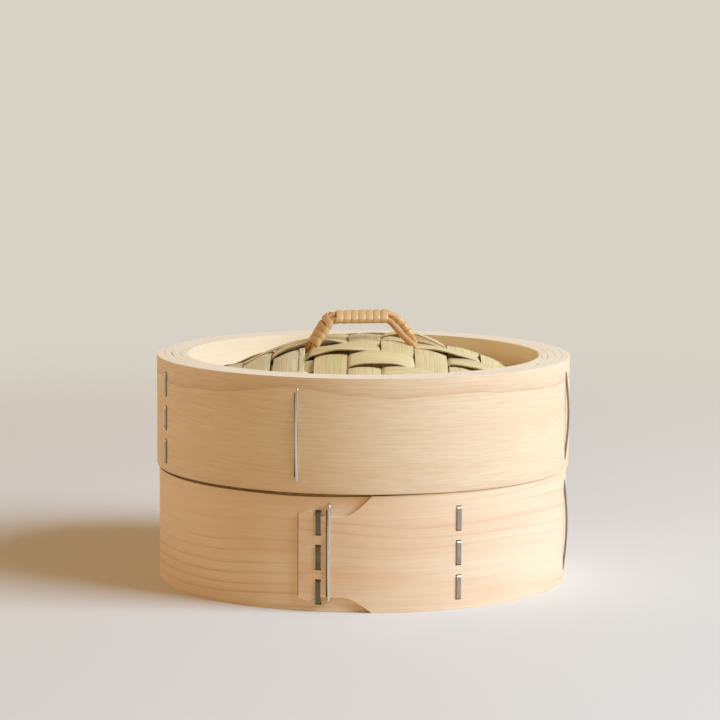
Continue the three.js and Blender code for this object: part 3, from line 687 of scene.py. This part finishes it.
def warp_on_top(warp, weft):
    """Whether the front-to-back strip is the upper one at a crossing."""
    return (warp + weft + TWILL_START) % TWILL_REPEAT < TWILL_FLOAT


def dome(x, y):
    """Height of the dome's middle surface, in millimetres."""
    return DOME_TOP - DOME_FALL * (x * x + y * y)


print("the first strip tops", [k for k in range(WEFT_COUNT) if warp_on_top(0, k)], "of those it crosses")

# %% [markdown]
# No woven dome is a true one. This one has sunk at its sides and its back, between the handle's feet and
# the rim that holds it, so a slump is taken off the height there, and its edge rests on the lower hoop.

# %% The dome's slump
LEFT_SLUMP = 6.0
LEFT_SLUMP_FROM = 25
LEFT_SLUMP_OVER = 45
RIGHT_SLUMP = 1.4
RIGHT_DROP = 3.2
RIGHT_DROP_FROM = 60
RIGHT_DROP_OVER = 20
BACK_SLUMP = 1.2
SLUMP_FROM = 15
SLUMP_OVER = 30
EDGE_SETTLE = 2.4
EDGE_FROM = 87
EDGE_OVER = 6


def slump(x, y):
    """How far the weave has sunk below the dome, in millimetres."""
    left = LEFT_SLUMP * smooth((-x - LEFT_SLUMP_FROM) / LEFT_SLUMP_OVER)
    right = RIGHT_SLUMP * smooth((x - SLUMP_FROM) / SLUMP_OVER)
    right += RIGHT_DROP * smooth((x - RIGHT_DROP_FROM) / RIGHT_DROP_OVER)
    sunk = left + right + BACK_SLUMP * smooth(y / SLUMP_OVER)
    edge = smooth((hypot(x, y) - EDGE_FROM) / EDGE_OVER)
    return sunk * (1 - edge) + EDGE_SETTLE * edge


print("sunk from left to right", [round(slump(x, 0), 1) for x in steps(-80, 80, 4)], "mm")

# %% [markdown]
# Where a strip passes over, it springs up in a shallow arch, because bamboo won't lie flat between two
# tucks, and the dark wedges under those arches are what makes the weave read as woven. So a strip's
# height is the dome, plus a level for over or under at each crossing, plus an arch over each float.

# %% Over and under
SAG = 0.25
ARCH_ROUNDNESS = 0.85
CHANGE_AT = 0.42


def lift(along, crossings, arch, over):
    """Level of a strip at a place along it, and its arch there; over tells which crossings it tops."""
    last = min(max(bisect(crossings, along) - 1, 0), len(crossings) - 2)
    place = last + (along - crossings[last]) / (crossings[last + 1] - crossings[last])
    here = floor(place)
    level = [1 if over(k) else -1 for k in (here, here + 1)]
    step = smooth((place - here - CHANGE_AT) / (1 - 2 * CHANGE_AT))
    nearest = round(place)
    start, stop = nearest, nearest
    while over(start - 1) == over(nearest):
        start -= 1
    while over(stop + 1) == over(nearest):
        stop += 1
    share = (place - (start + stop) / 2) / (TWILL_FLOAT / 2)
    rise = arch(start) if over(nearest) else -SAG
    return level[0] + (level[1] - level[0]) * step, rise * max(0, 1 - share * share) ** ARCH_ROUNDNESS


print("a strip goes from over to under within", round((1 - 2 * CHANGE_AT) * WARP_PITCH, 1), "mm")

# %% [markdown]
# Split by hand, no two strips are alike. Here some are nudged aside, a few lean or spring up more than
# their neighbours, each is crowned across its width and a little frayed at its edges, and one has split
# along its length. These are a few numbers by strip, counted from the left and from the front. A spring
# also names the first of the strips that it passes over.

# %% One strip
WARP_CURVE = 0.0105
WEFT_CURVE = 0.0035
WARP_ARCH = 1.0
WEFT_ARCH = 1.8
WARP_NUDGE = {0: -1.5, 1: -2.5, 2: -4.4, 3: -5.9, 5: -0.4, 6: -0.9, 7: -1.6, 8: -1.2, 9: -1.6}
WEFT_SPRING = {(5, 2): -0.9, (4, 3): 0.7, (4, 7): -0.6, (5, 6): 1.8}
STRIP_LEAN = {("warp", 2): 0.04, ("warp", 3): 0.05, ("weft", 3): -0.07, ("weft", 4): -0.06}
STRIP_THICKNESS = 0.72
STRIP_ROUNDING = 0.15
STRIP_LEVEL = 0.75
ARCH_FADE_FROM = 76
ARCH_FADE_TO = 90
SWAY = 0.3
SWAY_LENGTH = 30
FRAY = 0.22
FRAY_LENGTHS = (3.1, 5.3)
warp_centres = [at + WARP_NUDGE.get(k, 0) for k, at in enumerate(warp_at)]


def woven_stick(kind, number, centre, width):
    """A strip of the weave, or a splinter of it, trimmed to the circle of the slot that holds it."""
    warp = kind == "warp"
    crossings = weft_at if warp else warp_centres
    curve = WARP_CURVE if warp else WEFT_CURVE
    lean = STRIP_LEAN.get((kind, number), 0)
    sway = draw.uniform(-SWAY, SWAY)
    sway_at = draw.uniform(0, 2 * pi)
    fray_at = [draw.uniform(0, 2 * pi) for _ in range(4)]
    reach = sqrt(max(WEAVE_RADIUS ** 2 - centre ** 2, 0))
    bm = stick(steps(-1, 1, round(2 * reach)), width * MM, STRIP_THICKNESS * MM, across=6,
               rounding=STRIP_ROUNDING * MM)
    mark_sides(bm)

    def arch(start):
        return WARP_ARCH if warp else WEFT_ARCH + WEFT_SPRING.get((number, start), 0)

    def over(k):
        return warp_on_top(number, k) if warp else not warp_on_top(k, number)

    def trim(x, y, z):
        aside = min(abs(centre + y / MM), WEAVE_RADIUS - 1)
        return Vector((x * sqrt(WEAVE_RADIUS ** 2 - aside ** 2) * MM, y, z))

    def weave(x, y, z):
        along = x / MM
        side = centre + y / MM + sway * sin(along / SWAY_LENGTH + sway_at)
        level, arched = lift(along, crossings, arch, over)
        arched *= 1 - smooth((hypot(along, side) - ARCH_FADE_FROM) / (ARCH_FADE_TO - ARCH_FADE_FROM))
        edge = 0 if y > 0 else 1
        fray = sum(sin(along / length + fray_at[2 * k + edge]) for k, length in enumerate(FRAY_LENGTHS))
        fall = curve * (y / MM) ** 2 + FRAY * fray * (2 * y / MM / width) ** 6
        fall += abs(lean) * width / 2 - lean * y / MM
        right, back = (side, along) if warp else (along, side)
        height = dome(right, back) - slump(right, back) + STRIP_LEVEL * level + arched - fall + z / MM
        return Vector((right, back, height)) * MM

    bend(bm, trim)
    lay_grain(bm, 30 + number + (0 if warp else 15))
    bend(bm, weave)
    return bm


print("strips that run front to back lie at", [round(at, 1) for at in warp_centres])

# %% [markdown]
# The strips of one direction are all as wide as their pitch less a gap. The split one is narrower, with
# a splinter beside it that bends as it does.

# %% The weave's strips
WARP_GAP = 0.8
WEFT_GAP = 1.8
SPLIT_WARP = 3
SPLIT_WARP_WIDTH = 13.0
SPLIT = 0.5
SPLINTER = 2.8
PALE_STRIPS = {("warp", 0), ("warp", 1), ("warp", 2), ("warp", 3), ("weft", 8)}


def strip(kind, number):
    """One strip of the weave, in place of its node."""
    if kind == "weft":
        bm = woven_stick(kind, number, weft_at[number], WEFT_PITCH - WEFT_GAP)
    else:
        centre = warp_centres[number]
        split = number == SPLIT_WARP
        width = SPLIT_WARP_WIDTH if split else WARP_PITCH - WARP_GAP
        bm = woven_stick(kind, number, centre, width)
        if split:
            beside = centre + (width + SPLINTER) / 2 + SPLIT
            bm = joined(bm, woven_stick(kind, number, beside, SPLINTER))
    face = pale_bamboo if (kind, number) in PALE_STRIPS else split_bamboo
    name = f"{kind}_{number + 1}"
    return piece(f"bamboo_{name}", bm, [face, bamboo_side_with_gap_shade], "lid", "woven_bamboo", f"weave_{name}")


woven = [strip("warp", k) for k in range(WARP_COUNT)] + [strip("weft", k) for k in range(WEFT_COUNT)]
print("weave", len(woven), "strips,", sum(len(w.data.polygons) for w in woven), "faces")

# %% [markdown]
# ## Bending along a path
# Wire, cane and winding bend in space, so they need more than a formula for a circle. A path is a list of
# points with a direction across the stick at each of them. The stick gets one station per point, and the
# bend sets each of its vertices off from the path, across and through.

# %% Path helpers
def along_path(path, across):
    """Stations for a stick as long as the path, and the bend that lays it there."""
    stations = [0.0]
    for before, after in zip(path, path[1:]):
        stations.append(stations[-1] + (after - before).length)
    last = len(path) - 1
    runs = [(path[min(k + 1, last)] - path[max(k - 1, 0)]).normalized() for k in range(last + 1)]

    def place(x, y, z):
        k = min(max(bisect(stations, x) - 1, 0), last - 1)
        share = (x - stations[k]) / (stations[k + 1] - stations[k])
        run = runs[k].lerp(runs[k + 1], share).normalized()
        through = run.cross(across[k].lerp(across[k + 1], share)).normalized()
        return path[k].lerp(path[k + 1], share) + through.cross(run) * y + through * z

    return stations, place


def staple_path(azimuth, inside, outside, low, high, corner, bow=0.0):
    """A U with its back upright at the outside radius and its legs going in; distances in millimetres."""
    bends = steps(0, pi / 2, 5)
    top = [(outside - corner + corner * sin(b), high - corner + corner * cos(b)) for b in bends]
    below = [(radius, low + high - z) for radius, z in reversed(top)]
    upper, lower = top[-1][1], below[0][1]
    back = [(outside + bow * sin(pi * s), upper + (lower - upper) * s) for s in steps(0, 1, 14)[1:-1]]
    outline = [(inside, high)] + top + back + below + [(inside, low)]
    return [polar(radius, azimuth, z) for radius, z in outline]


trial = staple_path(0, 98, 105, 0, 12, 1)
print("a 12 mm staple takes", round(along_path(trial, trial)[0][-1] / MM, 1), "mm of wire")

# %% [markdown]
# ## Staples and stitches
# Flat staples hold the board's outer end and its seam, and long wire stitches tie the inner hoops to the
# outer one. Each is a bent length of steel with a rounded corner, never a sharp one, and the light on
# those corners is what shows that it is wire. Where each one sits is read from its CAD node. A staple's
# legs go into two slits, which get painted shade, and a tight stitch gets a line of painted shade beside
# it.

# %% One fastener
SLIT_LENGTH = 2.9
SLIT_HEIGHT = 0.8
SLIT_IN = 0.2
STITCH_SUNK = 0.6
WIRE_SHADE_WIDTH = 1.9
WIRE_SHADE_ASIDE = -0.35
FLAT_ROUNDING = 0.2


def seat(node):
    """Azimuth, least and greatest radius, and lowest and highest point of a CAD node, in millimetres."""
    points = [v.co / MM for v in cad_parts[node].data.vertices]
    middle = sum(points, Vector()) / len(points)
    radii = [hypot(p.x, p.y) for p in points]
    heights = [p.z for p in points]
    return degrees(atan2(middle.x, -middle.y)), min(radii), max(radii), min(heights), max(heights)


def shaded_slit(azimuth, radius, height):
    """Painted shade: a short level dark stick in the board's face round a staple's leg, where the slit is.
    """
    def place(x, y, z):
        return polar(radius + SHADE_LINE_PROUD + z / MM, azimuth + x, height + y / MM)

    spread = degrees(SLIT_LENGTH / 2 / radius)
    return painted_shade_line(steps(-spread, spread, 4), SLIT_HEIGHT, place)


def fastener(node, body, metal, shift, width, thickness, corner, sides=None, bow=0.0, drop=0.0,
             tight=False):
    """A bent staple or stitch in place of its node, with painted shade in the slits at its legs or in a
    line beside it.
    """
    azimuth, inside, outside, low, high = seat(node)
    low -= drop
    high -= drop
    back = outside - thickness / 2 - (STITCH_SUNK if sides else 0)
    path = staple_path(azimuth, inside, back, low + thickness / 2, high - thickness / 2, corner, bow)
    aside = polar(1 / MM, azimuth + 90, 0)
    stations, place = along_path(path, [aside] * len(path))
    rounding = 0 if sides else FLAT_ROUNDING * MM
    bm = stick(stations, width * MM, thickness * MM, rounding=rounding, sides=sides)
    lay_grain(bm, shift)
    bend(bm, place)
    radius = RADIUS[body]
    # Painted shade: a dark line beside a tight stitch, or in the two slits at a staple's legs.
    if tight:
        beside = azimuth + degrees(WIRE_SHADE_ASIDE / radius)
        bm = joined(bm, painted_shade_up_face(beside, radius, low + 2 * corner, high - 2 * corner, WIRE_SHADE_WIDTH))
    elif not sides:
        for height in (low + SLIT_IN, high - SLIT_IN):
            bm = joined(bm, shaded_slit(azimuth, radius, height))
    return piece(f"steel_{node}", bm, [metal, metal, painted_shade_wood], body, "steel", node)


print("one stitch sits at", [round(v, 2) for v in seat("lid_wire_1")])

# %% [markdown]
# Each ring has a column of three staples at its tail and another at its seam, and four stitches round it.
# The tail's staples sit a little low, and their steel has painted shade; the seam's have painted light. Two
# stitches on the right have worked loose, so they are thinner to the eye and stand out further; their steel
# has painted shade, and no shade line lies beside them.

# %% Staples and stitches
FLAT_WIDTH = 2.4
FLAT_THICKNESS = 0.7
STAPLE_CORNER = 0.9
TAIL_STAPLE_DROP = 1.1
STITCH = 1.6
STITCH_CORNER = 1.6
STITCH_SIDES = 12
STITCH_BOW = 1.2
LOOSE_STITCHES = {"body_wire_2", "lid_wire_3"}
LOOSE_STITCH = 1.1
LOOSE_BOW = 1.6
fasteners = []
for body, part in (("basket", "body"), ("lid", "lid")):
    for column, metal, drop in (("tail", shaded_flat_wire, TAIL_STAPLE_DROP), ("seam", lit_flat_wire, 0)):
        for k in (1, 2, 3):
            fasteners.append(fastener(f"{part}_{column}_staple_{k}", body, metal, k, FLAT_WIDTH,
                                      FLAT_THICKNESS, STAPLE_CORNER, drop=drop))
    for k in (1, 2, 3, 4):
        node = f"{part}_wire_{k}"
        tight = node not in LOOSE_STITCHES
        wire, bow, metal = STITCH, STITCH_BOW, bright_wire
        if not tight:
            wire, bow, metal = LOOSE_STITCH, LOOSE_BOW, shaded_wire
        fasteners.append(fastener(node, body, metal, 4 + k, wire, wire, STITCH_CORNER, STITCH_SIDES, bow,
                                  tight=tight))
print("fasteners", len(fasteners))

# %% [markdown]
# ## The handle's middle line
# The handle is one cane bent double. Its two runs are bound together over a low flat-topped arch; on the
# right they part and straddle a strip of the weave, and on the left they go down together. Everything on
# the handle follows one middle line: two straight legs and a flat top, with rounded shoulders.

# %% The handle's middle line
HANDLE_WEFT = 4
LEFT_GAP_WARP = 4
RIGHT_GAP_WARP = 7
ARCH_TOP = 135.0
LEFT_LEAN_OUT = 2.0
LEFT_LEAN = 7.8 + LEFT_LEAN_OUT
RIGHT_LEAN = 13
SHOULDER_EASE = 4
handle_y = weft_at[HANDLE_WEFT]
left_x = warp_at[LEFT_GAP_WARP] - WARP_PITCH / 2 - LEFT_LEAN_OUT
right_x = warp_at[RIGHT_GAP_WARP] - WARP_PITCH / 2
left_y = handle_y - WEFT_PITCH / 2
left_foot = Vector((left_x, left_y, dome(left_x, left_y)))
right_foot = Vector((right_x, handle_y, dome(right_x, handle_y)))


def handle_line():
    """Points of the middle line, in millimetres, from the left foot to the right one."""
    over = right_foot - left_foot
    over.z = 0
    over.normalize()
    corners = [left_foot, left_foot + over * LEFT_LEAN, right_foot - over * RIGHT_LEAN, right_foot]
    for corner in corners[1:3]:
        corner.z = ARCH_TOP
    points = [left_foot.copy()]
    for before, corner, after in zip(corners, corners[1:], corners[2:]):
        enter = corner + (before - corner).normalized() * SHOULDER_EASE
        leave = corner + (after - corner).normalized() * SHOULDER_EASE
        points += [enter.lerp(corner, s).lerp(corner.lerp(leave, s), s) for s in steps(0, 1, 16)]
    return points + [right_foot.copy()]


line_points = handle_line()
line_reach = [0.0]
for before, after in zip(line_points, line_points[1:]):
    line_reach.append(line_reach[-1] + (after - before).length)
LINE_LENGTH = line_reach[-1]
print("middle line", round(LINE_LENGTH, 2), "mm")

# %% [markdown]
# To lay cane and winding along that line, two questions are asked of it at any distance from the left
# foot: where the line is, and which way is square to it.

# %% Along the middle line
HALF_STEP = 0.5


def on_line(distance):
    """The middle line's point at a distance from the left foot."""
    k = min(max(bisect(line_reach, distance) - 1, 0), len(line_points) - 2)
    share = (distance - line_reach[k]) / (line_reach[k + 1] - line_reach[k])
    return line_points[k].lerp(line_points[k + 1], share)


def line_frame(distance):
    """Directions square to the middle line: away from the arch, and to the back."""
    run = (on_line(distance + HALF_STEP) - on_line(distance - HALF_STEP)).normalized()
    back = Vector((-run.y, run.x, 0)).normalized()
    return run.cross(back), back


print("the arch is highest at", round(max(p.z for p in line_points), 1), "mm")

# %% [markdown]
# ## The cane
# The two runs lie one up and behind, the other down and in front, so the bundle is a little taller than
# one cane. The offset from the middle line to the upper run says how they lie together and how they part;
# the lower run takes the same offset the other way. Below the weave the cane makes a loop on the left and
# two hooks on the right.

# %% The cane's path
RUN_HALF = 1.62
LEFT_SPREAD = Vector((-1.1, 1.25, 0))
LEFT_SPREAD_LENGTH = 0.15 * LINE_LENGTH
RIGHT_SPREAD = WEFT_PITCH / 2
RIGHT_SPREAD_LENGTH = 0.33 * LINE_LENGTH
RIGHT_SPRING = 1.2
HOOK_DROP = 2
HOOK_RADIUS = 5
HOOK_TIP = 1.2
LOOP_RADIUS = 4.5
EASE_ROUNDS = 3


def run_offset(distance):
    """From the middle line to the upper run of the cane."""
    outward, back = line_frame(distance)
    bound = (outward + back).normalized() * RUN_HALF
    from_right = LINE_LENGTH - distance
    if from_right < RIGHT_SPREAD_LENGTH:
        share = 1 - from_right / RIGHT_SPREAD_LENGTH
        spring = outward * RIGHT_SPRING * sin(pi * min(max(share, 0), 1))
        return bound.lerp(Vector((0, RIGHT_SPREAD, 0)), smooth(share)) + spring
    return bound.lerp(LEFT_SPREAD, smooth(1 - distance / LEFT_SPREAD_LENGTH))


def cane_points():
    """The cane's path, in millimetres, from the front hook round to the back one."""
    def run(sign):
        return [on_line(d) + run_offset(d) * sign for d in steps(0, LINE_LENGTH, 64)]

    def hook(sign):
        top = right_foot.z - HOOK_DROP
        turns = [(RIGHT_SPREAD - HOOK_RADIUS * (1 - cos(t)), top - HOOK_RADIUS * sin(t))
                 for t in steps(0, pi / 2, 8)]
        tip = (HOOK_TIP, top - HOOK_RADIUS)
        return [Vector((right_x, handle_y + sign * y, z)) for y, z in turns + [tip]]

    neck = asin(LEFT_SPREAD.length / LOOP_RADIUS)
    middle = left_foot - Vector((0, 0, HOOK_DROP + LOOP_RADIUS * cos(neck)))
    aside = -LEFT_SPREAD.normalized() * LOOP_RADIUS
    loop = [middle + aside * sin(t) + Vector((0, 0, LOOP_RADIUS * cos(t)))
            for t in steps(neck, 2 * pi - neck, 24)]
    points = hook(-1)[::-1] + run(-1)[::-1] + loop + run(1) + hook(1)
    for _ in range(EASE_ROUNDS):
        eased = [(a + 2 * b + c) / 4 for a, b, c in zip(points, points[1:], points[2:])]
        points = [points[0]] + eased + [points[-1]]
    return points


cane_path = [p * MM for p in cane_points()]
print("cane path", len(cane_path), "points")

# %% [markdown]
# The cane is a round rod laid along that path. Its direction across is carried from point to point
# without twisting, as a real cane's fibres are.

# %% The cane
CANE = 3.2
CANE_SIDES = 16


def carried_across(path):
    """A direction across a path at each point, carried along it without twisting."""
    across = [Vector((1, 0, 0))]
    for before, after in zip(path, path[1:]):
        run = (after - before).normalized()
        across.append((across[-1] - run * across[-1].dot(run)).normalized())
    return across


stations, place = along_path(cane_path, carried_across(cane_path))
bm = stick(stations, CANE * MM, CANE * MM, sides=CANE_SIDES)
lay_grain(bm, 60)
bend(bm, place)
piece("handle_cane", bm, [rattan_cane], "lid", "rattan_cane", "handle_core")
print("cane", round(stations[-1] / MM, 1), "mm long")

# %% [markdown]
# ## The winding
# A split strip of rattan skin binds the cane: four turns up the left leg, a long step over the shoulder,
# seven turns along the top, then a few round the upper run alone. A real strip lies flat across the
# hollow between the two runs, so each turn is a circle pulled out along the offset. A short table says
# how far along the middle line the winding has come after so many turns.

# %% The winding
STRIP_WIDE = 3.75
STRIP_THICK = 0.6
STRIP_CORNER = 0.2
STRIP_PILLOW = 0.28
STRIP_EASE = 0.1
SQUARENESS = 4
SPLIT_TURN = 11.25
TURN_STEPS = 30
TURN_KNOTS = [(0, 1.3), (3.75, 15.4), (4.75, 22.4), (10.75, 45.2), (11.25, 47.6), (11.75, 54.3),
              (14.1, 63.7)]


def wound_to(turns):
    """How far from the left foot the winding has come after so many turns."""
    for (near, start), (far, stop) in zip(TURN_KNOTS, TURN_KNOTS[1:]):
        if turns <= far:
            return start + (stop - start) * (turns - near) / (far - near)


def winding():
    """Points of the winding's middle, in metres, and its direction across at each."""
    reach = CANE / 2 + STRIP_EASE + STRIP_THICK / 2
    last = TURN_KNOTS[-1][0]
    points, aways = [], []
    for turns in steps(0, last, round(last * TURN_STEPS)):
        distance = wound_to(turns)
        outward, back = line_frame(distance)
        away = outward * cos(2 * pi * turns) + back * sin(2 * pi * turns)
        offset = run_offset(distance)
        pulled = tanh(SQUARENESS * away.dot(offset.normalized())) / tanh(SQUARENESS)
        middle = on_line(distance) + offset * (1 if turns > SPLIT_TURN else pulled)
        points.append((middle + away * reach) * MM)
        aways.append(away)
    runs = [(b - a).normalized() for a, b in zip(points, points[1:])]
    return points, [away.cross(run).normalized() for away, run in zip(aways, runs + runs[-1:])]


stations, place = along_path(*winding())
bm = stick(stations, STRIP_WIDE * MM, STRIP_THICK * MM, across=4, rounding=STRIP_CORNER * MM)
lay_grain(bm, 61)
bend(bm, lambda x, y, z: Vector((x, y, z - STRIP_PILLOW * MM * (2 * y / MM / STRIP_WIDE) ** 2)))
bend(bm, place)
piece("handle_winding", bm, [rattan_skin], "lid", "rattan_strip", "handle_wrap")
print("winding", round(stations[-1] / MM, 1), "mm of strip")

# %% [markdown]
# ## The studio
# The floor is a plain pale sheet that curves up behind the basket, so no horizon shows. A sheet is quick
# to make from one edge: it is extruded back, spun up through a quarter turn, and extruded again.

# %% The floor sheet
SHEET_HALF = 4.0
SHEET_FRONT = -3.0
SHEET_BACK = 2.2
SHEET_CURVE = 0.8
SHEET_TOP = 4.0


def pale_sheet():
    """Floor and backdrop in one swept sheet."""
    bm = bmesh.new()
    ends = [bm.verts.new((x, SHEET_FRONT, 0)) for x in (-SHEET_HALF, SHEET_HALF)]
    edge = [bm.edges.new(ends)]

    def drawn(edges, step):
        grown = bmesh.ops.extrude_edge_only(bm, edges=edges)["geom"]
        bmesh.ops.translate(bm, vec=step, verts=[g for g in grown if isinstance(g, bmesh.types.BMVert)])
        return [g for g in grown if isinstance(g, bmesh.types.BMEdge)]

    edge = [e for e in drawn(edge, (0, SHEET_BACK - SHEET_FRONT, 0))
            if all(abs(v.co.y - SHEET_BACK) < MM for v in e.verts)]
    turned = bmesh.ops.spin(bm, geom=edge, cent=(0, SHEET_BACK, SHEET_CURVE), axis=(1, 0, 0),
                            angle=pi / 2, steps=16)
    edge = [g for g in turned["geom_last"] if isinstance(g, bmesh.types.BMEdge)]
    drawn(edge, (0, 0, SHEET_TOP - SHEET_CURVE))
    bmesh.ops.remove_doubles(bm, verts=bm.verts, dist=MM)
    bmesh.ops.recalc_face_normals(bm, faces=bm.faces)
    return bm


sheet_bm = pale_sheet()
sheet_mesh = bpy.data.meshes.new("studio_sheet")
sheet_bm.to_mesh(sheet_mesh)
sheet_bm.free()
sheet_mesh.shade_smooth()
sheet = bpy.data.objects.new("studio_sheet", sheet_mesh)
bpy.context.scene.collection.objects.link(sheet)
print("sheet", len(sheet_mesh.polygons), "faces")

# %% [markdown]
# The sheet is matt paper, warm where its light falls on the basket. To the camera and in reflections it
# is paler, and away from the basket it turns to one even tone, as paper does under wide soft light.
# Close to the basket it stays plain paper, so the shadow shows.

# %% Studio paper
MOTTLE_MM = 60
EVEN_FROM = 0.3
EVEN_TO = 1.1
PAPER_ROUGHNESS = 0.9


def sheet_material():
    """Matt paper: one pale colour with a faint mottle, which turns to an even tone far from the basket."""
    material, tree, shader = new_material("matt studio paper")
    shader.inputs["Roughness"].default_value = PAPER_ROUGHNESS
    place = add_node(tree, "ShaderNodeTexCoord").outputs["Object"]
    mottle = add_node(tree, "ShaderNodeTexNoise",
                      {"Vector": place, "Scale": 1 / (MOTTLE_MM * MM), "Detail": 2.0})
    paper = add_node(tree, "ShaderNodeMix",
                     {0: mottle.outputs["Fac"], 6: linear("#DDC9A6"), 7: linear("#D9C5A2")},
                     data_type="RGBA")
    ray = add_node(tree, "ShaderNodeLightPath").outputs
    mirrored = add_node(tree, "ShaderNodeMath", {0: ray["Is Glossy Ray"], 1: ray["Is Transmission Ray"]})
    seen = add_node(tree, "ShaderNodeMath", {0: ray["Is Camera Ray"], 1: mirrored.outputs[0]},
                    use_clamp=True)
    colour = add_node(tree, "ShaderNodeMix",
                      {0: seen.outputs[0], 6: paper.outputs[2], 7: linear("#E3E0D8")},
                      data_type="RGBA")
    tree.links.new(colour.outputs[2], shader.inputs["Base Color"])
    far = add_node(tree, "ShaderNodeVectorMath", {0: place}, operation="LENGTH").outputs["Value"]
    away = add_node(tree, "ShaderNodeMapRange", {0: far, 1: EVEN_FROM, 2: EVEN_TO},
                    interpolation_type="SMOOTHSTEP")
    even = add_node(tree, "ShaderNodeMath", {0: seen.outputs[0], 1: away.outputs[0]}, operation="MULTIPLY")
    glow = add_node(tree, "ShaderNodeEmission", {"Color": linear("#D8D2C6"), "Strength": 1.0})
    mixed = add_node(tree, "ShaderNodeMixShader",
                     {0: even.outputs[0], 1: shader.outputs[0], 2: glow.outputs[0]})
    tree.links.new(mixed.outputs[0], tree.nodes["Material Output"].inputs["Surface"])
    return material


sheet_mesh.materials.append(sheet_material())
print("sheet of", sheet_mesh.materials[0].name)

# %% [markdown]
# ## Light
# The light is a large soft window on the right, a weak warm bounce on the left, and the even warm light
# of a room all round. A window from one side is what rounds the hoops: they run from cream to tan across
# the front. Places are in metres.

# %% Light
LIT_POINT = Vector((0, 0, 0.07))
ROOM_LIGHT = 0.4


def soft_lamp(name, place, width, watts, colour):
    """A square area lamp that faces the basket."""
    lamp = bpy.data.lights.new(name, "AREA")
    lamp.size = width
    lamp.energy = watts
    lamp.color = linear(colour)[:3]
    obj = bpy.data.objects.new(name, lamp)
    obj.location = place
    obj.rotation_euler = (LIT_POINT - Vector(place)).to_track_quat("-Z", "Y").to_euler()
    bpy.context.scene.collection.objects.link(obj)
    return obj


window = soft_lamp("window", place=(2.194, -0.842, 1.7), width=1.6, watts=116, colour="#CDE4FF")
bounce = soft_lamp("bounce", place=(-2.2, 0.9, 0.5), width=1.6, watts=14, colour="#FFF0E0")
world = bpy.data.worlds.new("sky")
world.use_nodes = True
sky = world.node_tree.nodes["Background"]
sky.inputs["Color"].default_value = linear("#FFD090")
sky.inputs["Strength"].default_value = ROOM_LIGHT
bpy.context.scene.world = world
bpy.context.scene.view_settings.view_transform = "Standard"
print("window", window.data.energy, "W, bounce", bounce.data.energy, "W")

# %% [markdown]
# ## Camera
# The camera is a long lens a little above the rim, so the hoops' edges are shallow ellipses. A long lens
# from further off is also what keeps the two rings nearly the same width to the eye.

# %% Camera
SENSOR_MM = 36
LENS_MM = 142.64
SIDE_SHIFT = -0.0047
CAMERA_PLACE = (0, -1.4607, 0.2892)
LOOK_DOWN = 6.968
ROLL = 0.316
camera = bpy.data.cameras.new("camera")
camera.sensor_width = SENSOR_MM
camera.lens = LENS_MM
camera.shift_x = SIDE_SHIFT
viewer = bpy.data.objects.new("camera", camera)
viewer.matrix_world = (Matrix.Translation(CAMERA_PLACE)
                       @ Matrix.Rotation(radians(90 - LOOK_DOWN), 4, "X")
                       @ Matrix.Rotation(radians(ROLL), 4, "Z"))
bpy.context.scene.collection.objects.link(viewer)
bpy.context.scene.camera = viewer
print("camera", [round(v, 3) for v in viewer.location])
